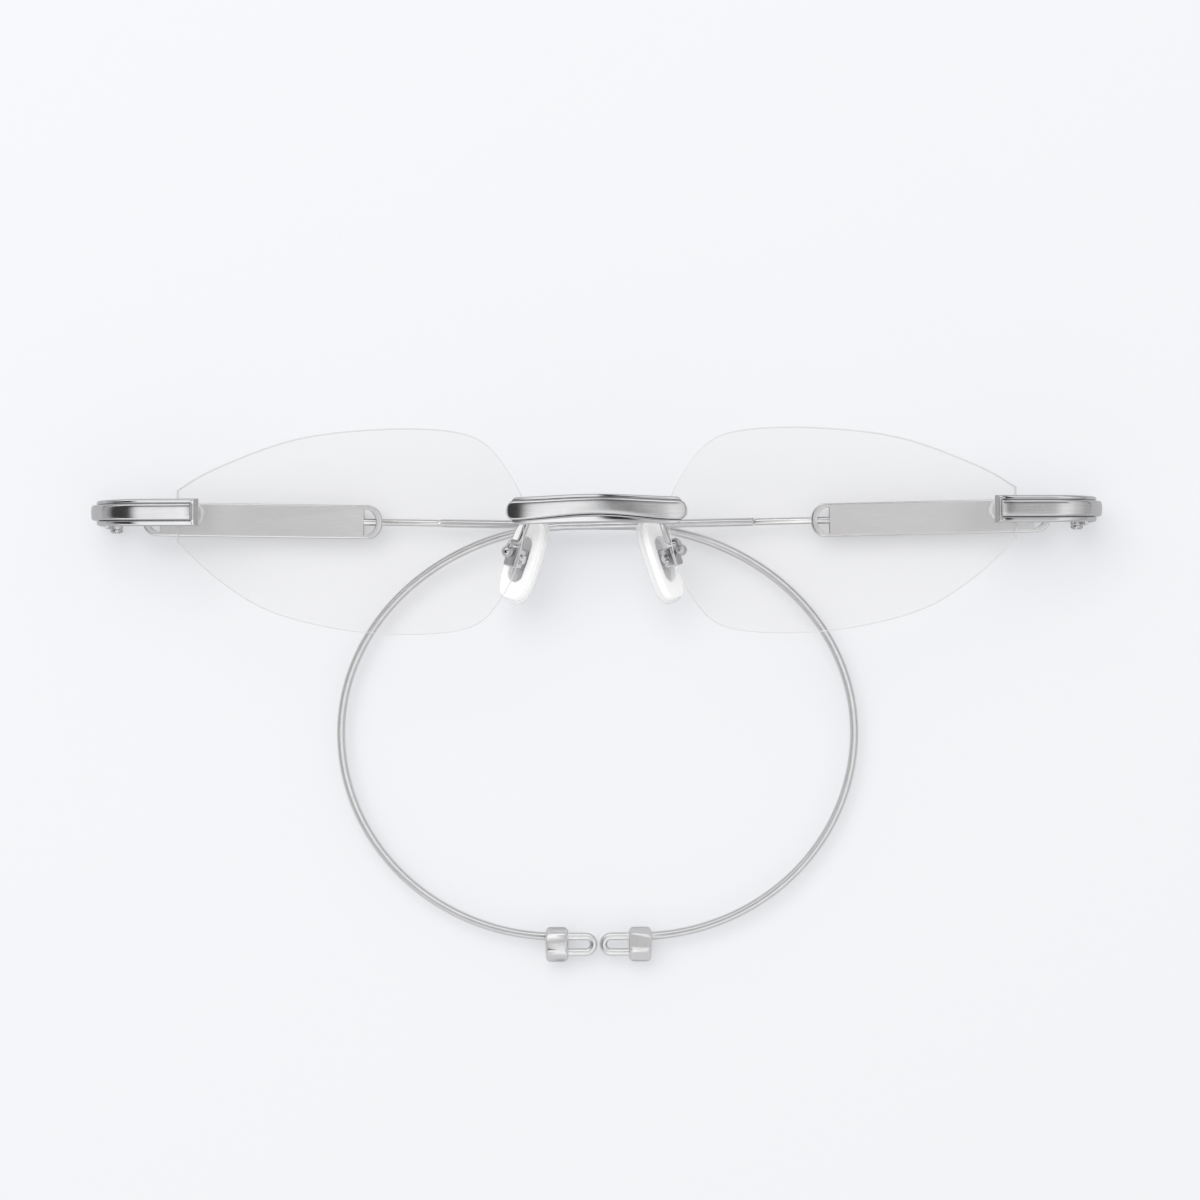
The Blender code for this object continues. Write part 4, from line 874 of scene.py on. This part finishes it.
for label in sides:
    shape = plate(plate_length, plate_height, plate_end_round, plate_thickness)
    shape = carve(shape, [plate_window(-1), plate_window(1)])
    for face in shape.faces:
        face.material_index = 0 if abs(face.normal.z) > face_slope else 1
    rims = [edge for edge in sharp_edges(shape) if not runs_along(edge, 2)]
    reach_x, reach_y = plate_length / 2 - window_rim + hair, window_height / 2 + hair
    window_rims = [
        edge for edge in rims
        if all(abs(end.co.x) < reach_x and abs(end.co.y) < reach_y for end in edge.verts)
    ]
    outer_rims = [edge for edge in rims if edge not in window_rims]
    chamfer(shape, window_rims, window_edge, 3, material=1)
    chamfer(shape, outer_rims, plate_edge, 3, material=1)
    middle = temple_point((plate_outer + plate_inner) / 2)
    move(shape, Matrix.Translation(middle) @ Matrix.Rotation(temple_slope, 4, "Z"))
    bores = [
        round_bar(
            wire_bore, temple_point(end - way * window_rim),
            temple_point(end + way * (window_base + wire_seat + play)),
        )
        for end, way in ((plate_outer, -1), (plate_inner, 1))
    ]
    finishes = [plate_satin, plate_edges]
    settle(carve(shape, bores), "windowed_plate", finishes, label, ["temple_plate"], "temple")

# Temple wires
# Straight round wires from inside each plate, through its inner window, to a socket for the ear cable's core.
bare_wire_end, core_bore = 23.1, 0.42
wire_round, socket_edge = 0.08, 0.02
wire_finish = metal("drawn_wire", (0.83, 0.83, 0.835), 0.13, (400.0, 9000.0, 9000.0), 0.001)
for label in sides:
    start = temple_point(plate_inner + window_base + wire_seat)
    along = temple_point(bare_wire_end) - start
    length = along.length
    socket_floor = length - wire_seat - play
    profile = [
        (0.0, 0.0), (wire_radius - wire_round, 0.0), (wire_radius, wire_round),
        (wire_radius, length - wire_round), (wire_radius - socket_edge, length - socket_edge),
        (core_bore + socket_edge, length),
        (core_bore, length - socket_edge), (core_bore, socket_floor), (0.0, socket_floor),
    ]
    shape = turned(profile, aim(start, along))
    settle(shape, "straight_wire", [wire_finish], label, ["temple_wire"], "temple")

# Ear cables
# Each is a core wire inside a close-wound spring of fine flattened wire, preformed to a hook that crosses the
# middle. The left one passes under the right one, and both end in sockets in the hexagon end nuts.
winding_wire, winding_flat, winding_radius, winding_pitch = 0.1235, 0.4, 0.597, 0.25
turn_steps, wire_sides, joined_point = 16, 8, 0.002
cable_start, core_seat = 0.15, 0.1
hook_past_middle, hook_half_width = 3.0, 37.5
hook_upper_drop, hook_lower_drop = 30.2, 29.8
straight_points, top_points, arc_points = 50, (0.8, 1.6, 2.4), 81
crossing_offset, crossing_flat, crossing_ramp = 0.7, 13.0, 8.0
end_nut_radius, end_nut_turn = 2.54, 15
hook_end_x, hook_z = 6.0, end_nut_radius * math.cos(math.radians(end_nut_turn))
hook_top_y = temple_point(-hook_past_middle).y
hook_widest_y = hook_top_y - hook_upper_drop
hook_end_y = hook_widest_y - hook_lower_drop


def crossing_z(x, side):
    level = hinge_z + side * crossing_offset
    if x > 0:
        return level + (hinge_z - level) * ease(crossing_flat, crossing_flat + crossing_ramp, x)
    return level + (hook_z - level) * ease(crossing_flat, crossing_flat + 2 * crossing_ramp, -x)


def hook_route(side):
    """The cable's centre line, from just past the bare wire's end to its socket in the end nut."""
    straight = np.linspace(bare_wire_end - cable_start, 0.0, straight_points)
    points = [temple_point(x, crossing_z(x, side)) for x in straight]
    for x in top_points:
        y = hook_top_y + (hook_past_middle - x) * math.tan(temple_slope) * 0.5
        points.append(Vector((-x, y, crossing_z(-x, side))))
    arcs = ((hook_past_middle, hook_upper_drop, 90), (hook_end_x, hook_lower_drop, 180))
    for centre_x, drop, start in arcs:
        for angle in np.radians(np.linspace(start, start + 90, arc_points)):
            x = -centre_x + (hook_half_width - centre_x) * math.cos(angle)
            y = hook_widest_y + drop * math.sin(angle)
            points.append(Vector((x, y, crossing_z(x, side) if y > hook_widest_y else hook_z)))
    points.append(Vector((-hook_end_x + core_seat, hook_end_y, hook_z)))
    return points


def places_along(points):
    """Distances along a line, its points, and three directions there, ahead and across, that don't twist."""
    points = np.array([tuple(point) for point in points])
    points = points[np.append(True, np.linalg.norm(np.diff(points, axis=0), axis=1) > 1e-4)]
    gone = np.append(0.0, np.cumsum(np.linalg.norm(np.diff(points, axis=0), axis=1)))
    ahead = np.gradient(points, gone, axis=0)
    ahead /= np.linalg.norm(ahead, axis=1, keepdims=True)
    across = np.cross(ahead[0], (0.0, 0.0, 1.0))
    if np.linalg.norm(across) < 0.1:
        across = np.cross(ahead[0], (0.0, 1.0, 0.0))
    acrosses = []
    for way in ahead:
        across = across - way * across.dot(way)
        across = across / np.linalg.norm(across)
        acrosses.append(across)
    acrosses = np.array(acrosses)
    return gone, points, ahead, acrosses, np.cross(ahead, acrosses)


def repeated(shape, times, step):
    """A row of the same shape along X, each joined to the next."""
    holder = add("row", to_mesh(shape, "row"))
    row = holder.modifiers.new("row", "ARRAY")
    row.count = times
    row.use_relative_offset = False
    row.use_constant_offset = True
    row.constant_offset_displace = (step, 0.0, 0.0)
    joined = applied([holder])
    bmesh.ops.remove_doubles(joined, verts=joined.verts, dist=joined_point)
    return joined


def bend_along(shape, points):
    """Bend a shape that was made straight along X so that it follows a line."""
    gone, points, _, across, up = places_along(points)
    local = np.array([tuple(vertex.co) for vertex in shape.verts])
    at = [
        np.stack([np.interp(local[:, 0], gone, line[:, axis]) for axis in range(3)], 1)
        for line in (points, across, up)
    ]
    moved = at[0] + at[1] * local[:, 1:2] + at[2] * local[:, 2:3]
    for vertex, place in zip(shape.verts, moved):
        vertex.co = place


spring = metal("spring_wire", (0.87, 0.87, 0.88), 0.08, (900.0, 900.0, 900.0))
for label, side in sides.items():
    route = hook_route(side)
    length = places_along(route)[0][-1]
    turns = round((length - winding_pitch) / winding_pitch)
    one_turn = bmesh.new()
    flattened = Matrix.Diagonal((1.0, winding_flat, 1.0, 1.0))
    bmesh.ops.create_circle(
        one_turn, segments=wire_sides, radius=winding_wire,
        matrix=shift(winding_wire, winding_radius - winding_wire * winding_flat) @ flattened,
    )
    bmesh.ops.spin(
        one_turn, geom=one_turn.verts[:] + one_turn.edges[:], cent=(0, 0, 0), axis=(1, 0, 0),
        dvec=(winding_pitch / turn_steps, 0.0, 0.0), angle=math.tau, steps=turn_steps,
        use_merge=False, use_duplicate=False,
    )
    shape = repeated(one_turn, turns, winding_pitch)
    bmesh.ops.holes_fill(shape, edges=[edge for edge in shape.edges if edge.is_boundary], sides=wire_sides)
    bend_along(shape, route)
    settle(
        shape, "close_wound_spring", [spring], label, ["cable_winding"], "temple",
        smooth_below=70,
    )
    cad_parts[f"cable_core_{label}"].material_slots[0].material = spring

# Hook ends
# Hexagon end nuts turned from bar, with the cable's socket off their centre, and U-shaped wire loops that a
# neck cord can go through. Both are a little duller than the front's plate.
end_nut_inner, end_nut_outer, end_nut_chamfer = 4.45, 7.7, 0.68
cable_socket, cable_socket_past, leg_socket = 0.7, 1.7, 0.65
loop_wire, loop_bend, loop_tip, leg_seat, leg_steps = 0.55, 1.15, 0.15, 1.0, 4
end_nut_y = hook_end_y - loop_bend
turned_metal = metal("turned_nickel", (0.90, 0.90, 0.905), 0.27, (9000.0, 600.0, 600.0), 0.001)


def swept_wire(points, radius, segments):
    """A round wire along a line, its ends closed."""
    _, points, ahead, across, up = places_along(points)
    places = []
    for point, way, side_way, up_way in zip(points, ahead, across, up):
        place = Matrix((side_way, up_way, way)).transposed().to_4x4()
        place.translation = point
        places.append(place)
    shape = bmesh.new()
    bmesh.ops.create_circle(shape, cap_ends=True, segments=segments, radius=radius, matrix=places[0])
    ends = shape.faces[:]
    for index, (before, place) in enumerate(zip(places, places[1:])):
        ends = pull(shape, ends, place @ before.inverted(), keep=index == 0)
    face_out(shape)
    return shape


def socket(radius, y, start_x, end_x):
    """A round bar along X that makes a socket in the end nut."""
    return round_bar(radius, (start_x, y, hook_z), (end_x, y, hook_z))


for label in sides:
    length = end_nut_outer - end_nut_inner
    place = shift(-end_nut_outer, end_nut_y, hook_z) @ turn(90, "Y")
    shape = hexagon(end_nut_radius, length, place @ shift(z=length / 2) @ turn(30 + end_nut_turn, "Z"))
    flat = end_nut_radius - end_nut_chamfer
    profile = [(0.0, 0.0), (flat, 0.0)]
    profile += [
        (flat + end_nut_chamfer * math.sin(t), end_nut_chamfer * (1 - math.cos(t)))
        for t in np.radians((30, 60, 90))
    ]
    profile += [(radius, length - height) for radius, height in reversed(profile)]
    shape = carve(shape, [turned(profile, place, steps=72)], "INTERSECT")
    sockets = [socket(cable_socket, hook_end_y, -end_nut_outer - cable_socket_past, -hook_end_x + core_seat)]
    leg_reach = (leg_seat - end_nut_inner, -end_nut_inner - leg_seat - core_seat)
    sockets += [socket(leg_socket, end_nut_y + rise, *leg_reach) for rise in (-loop_bend, loop_bend)]
    settle(carve(shape, sockets), "hexagon_end", [turned_metal], label, ["end_nut"], "temple")

    leg_end = end_nut_inner + leg_seat
    bend_x = loop_tip + loop_wire + loop_bend
    leg = [step * (leg_end - bend_x) / leg_steps for step in range(leg_steps + 1)]
    line = [(-leg_end + gone, end_nut_y + loop_bend) for gone in leg[:-1]]
    line += [
        (-bend_x + loop_bend * math.sin(t), end_nut_y + loop_bend * math.cos(t))
        for t in np.radians(np.linspace(0, 180, 25))
    ]
    line += [(-bend_x - gone, end_nut_y - loop_bend) for gone in leg[1:]]
    shape = swept_wire([(x, y, hook_z) for x, y in line], loop_wire, 28)
    settle(shape, "cord_loop", [turned_metal], label, ["end_loop"], "temple")

# Nose pads
# Soft clear silicone, moulded round a satin metal insert whose lug stands in a cast box and rocks on its
# slotted screw. The left pad is turned and bent outwards more than the right one.
pad_length, pad_width, pad_thickness, pad_power = 12.9, 6.5, 2.1, 0.62
pad_edge, step_edge = 1.1, 0.22
skirt_thickness, skirt_width = 1.25, 0.6
pad_turn, pad_spread, pad_tilt = {"left": 50, "right": 36}, {"left": 1.05, "right": 0.0}, 18
lens_back = lens_front - lens_sag(nose_edge, brow_y) - lens_thickness
pad_box_place = (nose_edge + 0.3, brow_y - 6.65, lens_back - 2.5)
box_over_pad, box_size, box_wall, box_round = 1.9, (2.5, 2.9, 2.2), 0.45, 0.3
pocket_length, pocket_width, pocket_floor = 6.9, 2.9, 0.65
insert_thickness, insert_round = 0.5, 0.1
lug_radius, lug_play, box_reach = 0.75, 0.15, 3.0
pad_screw_radius, pad_screw_round, pad_screw_rise = 0.4, 0.06, 0.3
pad_screw_head, pad_slot_depth, pad_slot_reach = 0.7, 0.15, (2.0, 1.0)
# The dome of the pad screw's head: shares of its radius, and how far under its top
pad_screw_dome = ((1.0, 0.14), (0.93, 0.05), (0.75, 0.0), (0.0, 0.0))

# The pads' small white emission is a painted glow that makes them look lit from within, though they are no
# lamp.
silicone, tree, shader = finish_of("milky_silicone_painted_glow")
feed(tree, shader, {
    "Base Color": (*white, 1.0), "Subsurface Weight": 0.6, "Subsurface Radius": white,
    "Subsurface Scale": 0.8 * mm, "Specular IOR Level": 0.3, "Emission Color": (*white, 1.0),
    "Emission Strength": 0.12, "Roughness": film(tree, 300.0, 0.22, 0.3),
})
cast_nickel = metal("cast_nickel", nickel, 0.24, (5000.0, 5000.0, 5000.0), rough_spread=0.04)
clear_skirt, tree, shader = finish_of("clear_silicone")
feed(tree, shader, {
    "Base Color": (0.99, 0.99, 0.992, 1.0), "Alpha": 0.55, "Specular IOR Level": 0.4,
    "Roughness": film(tree, 300.0, 0.14, 0.2),
})


def pad_place(label):
    """Where a pad's middle lies: x away from the nose, y up the pad, z its front edge."""
    stance = turn(pad_tilt, "Z") @ turn(-pad_turn[label], "Y")
    x, y, z = pad_box_place
    return shift(x + pad_spread[label], y, z) @ stance @ shift(-box_over_pad)


def stadium(length, width, thickness):
    """A plate with round ends along y, standing as the pad's parts do, its middle on x = 0."""
    shape = plate(length, width, width / 2, thickness, 32)
    move(shape, turn(90, "Y") @ turn(90, "Z"))
    return shape


def box_pin(radius, half, segments=32):
    """A round bar across the pad box, on the screw's axis."""
    return round_bar(radius, (box_over_pad, 0, -half), (box_over_pad, 0, half), segments)


def silicone_pad():
    """The pad with its thinner skirt round a pocket for the insert."""
    shape = bmesh.new()
    bmesh.ops.create_circle(shape, cap_ends=True, segments=72, radius=1.0)
    for vertex in shape.verts:
        x, y = (math.copysign(abs(value) ** pad_power, value) for value in vertex.co.xy)
        vertex.co = (x * pad_width / 2, y * pad_length / 2, -pad_thickness / 2)
    back = pull(shape, shape.faces[:], shift(z=skirt_thickness), keep=True)
    face_out(shape)
    bmesh.ops.inset_region(shape, faces=back, thickness=skirt_width, use_even_offset=True)
    pull(shape, back, shift(z=pad_thickness - skirt_thickness))
    face_out(shape)
    skirt_top = skirt_thickness - pad_thickness / 2
    for face in shape.faces:
        face.material_index = 0 if face.calc_center_median().z > skirt_top + hair else 1
    rims = sharp_edges(shape)
    front_rims = [edge for edge in rims if edge.verts[0].co.z < hair - pad_thickness / 2]
    step_rims = [edge for edge in rims if edge not in front_rims]
    chamfer(shape, front_rims, pad_edge, 6)
    chamfer(shape, step_rims, step_edge, 3)
    move(shape, turn(90, "Y"))
    pocket_depth = pad_thickness - pocket_floor
    pocket = stadium(pocket_length, pocket_width, 2 * pocket_depth)
    move(pocket, shift(pocket_floor - pad_thickness / 2 + pocket_depth))
    return carve(shape, [pocket])


def pad_insert():
    """The insert's plate in the pocket, and its lug with the screw's bore."""
    middle = pocket_floor - pad_thickness / 2 + play + insert_thickness / 2
    shape = stadium(pocket_length - 2 * play, pocket_width - 2 * play, insert_thickness)
    chamfer(shape, sharp_edges(shape), insert_round)
    move(shape, shift(middle))
    lug_half = box_size[2] / 2 - box_wall - lug_play
    neck = block((middle, -lug_radius, -lug_half), (box_over_pad, lug_radius, lug_half))
    shape = carve(shape, [neck, box_pin(lug_radius, lug_half, 40)], "UNION")
    return carve(shape, [box_pin(pad_screw_radius + play, box_reach)])


def clamp_box():
    """The box behind the pad, slotted for the lug and bored for the screw."""
    half = Vector(box_size) / 2
    shape = block((box_over_pad - half.x, -half.y, -half.z), (box_over_pad + half.x, half.y, half.z))
    chamfer(shape, shape.edges[:], box_round, 3)
    slot_half = half.z - box_wall
    slot_low = (box_over_pad - box_reach, -box_reach, -slot_half)
    slot = block(slot_low, (box_over_pad + lug_radius + lug_play, box_reach, slot_half))
    return carve(shape, [slot, box_pin(pad_screw_radius + play, box_reach)])


def clamp_screw():
    low, face = -box_size[2] / 2, box_size[2] / 2 + play
    top = face + pad_screw_rise
    profile = [
        (0.0, low), (pad_screw_radius - pad_screw_round, low), (pad_screw_radius, low + pad_screw_round),
        (pad_screw_radius, face), (pad_screw_head, face),
    ]
    profile += [(pad_screw_head * share, top - down) for share, down in pad_screw_dome]
    across, above = pad_slot_reach
    slot = block(
        (box_over_pad - across, -slot_half_width, top - pad_slot_depth),
        (box_over_pad + across, slot_half_width, top + above),
    )
    return carve(turned(profile, shift(box_over_pad)), [slot])


for label in sides:
    place = pad_place(label)
    settle(
        silicone_pad(), "silicone_pad", [silicone, clear_skirt], label, ["nose_pad"], "pad",
        place, smooth_below=40,
    )
    settle(pad_insert(), "pad_plate", [satin], label, ["pad_insert"], "pad", place)
    settle(clamp_box(), "clamp_box", [cast_nickel], label, ["pad_box"], place=place)
    settle(clamp_screw(), "clamp_screw", [polished], label, ["pad_screw"], place=place)

# Pad arms
# Bright round wires soldered behind the bridge. Each drops past the lens edge, turns behind the lens and
# ends in a ball on its pad box.
arm_wire, ball_radius, ball_rise, ball_gap = 0.45, 0.85, 0.5, 0.1
arm_start_x = nose_edge - 0.9 - arm_wire
arm_start_z = band_back + bridge_bow * (1 - (arm_start_x / bridge_half) ** 2) - 0.1
# The arm's first points: how far out, how far more for each mm that its pad is bent out, how far down, height
arm_points = [
    (0.0, 0.0, arm_wire, arm_start_z), (0.0, 0.0, 0.585, (arm_start_z + lens_back) / 2),
    (0.18, 0.45, 0.99, lens_back), (0.5, 0.6, 1.89, lens_back - 0.95),
]
ball_x = box_over_pad + box_size[0] / 2 + ball_gap + ball_radius
beside = box_size[1] / 2 + 2 * arm_wire
# Its last points, from beside the pad box to the middle of the ball
ball_points = [
    (ball_x - ball_radius - arm_wire, beside, arm_wire), (ball_x - arm_wire / 2, beside - arm_wire, 0.0),
    (ball_x, ball_rise, 0.0),
]
for label in sides:
    place = pad_place(label)
    spread = pad_spread[label]
    line = [(arm_start_x + out + more * spread, brow_y - down, z) for out, more, down, z in arm_points]
    line += [tuple(place @ Vector(point)) for point in ball_points]
    shape = swept_wire(through(line, 7), arm_wire, 24)
    half_round = [
        (ball_radius * math.sin(t), -ball_radius * math.cos(t)) for t in np.radians(range(0, 181, 9))
    ]
    ball = turned(half_round, shift(*line[-1]), steps=36)
    settle(carve(shape, [ball], "UNION"), "pad_wire", [polished], label, ["pad_arm"])
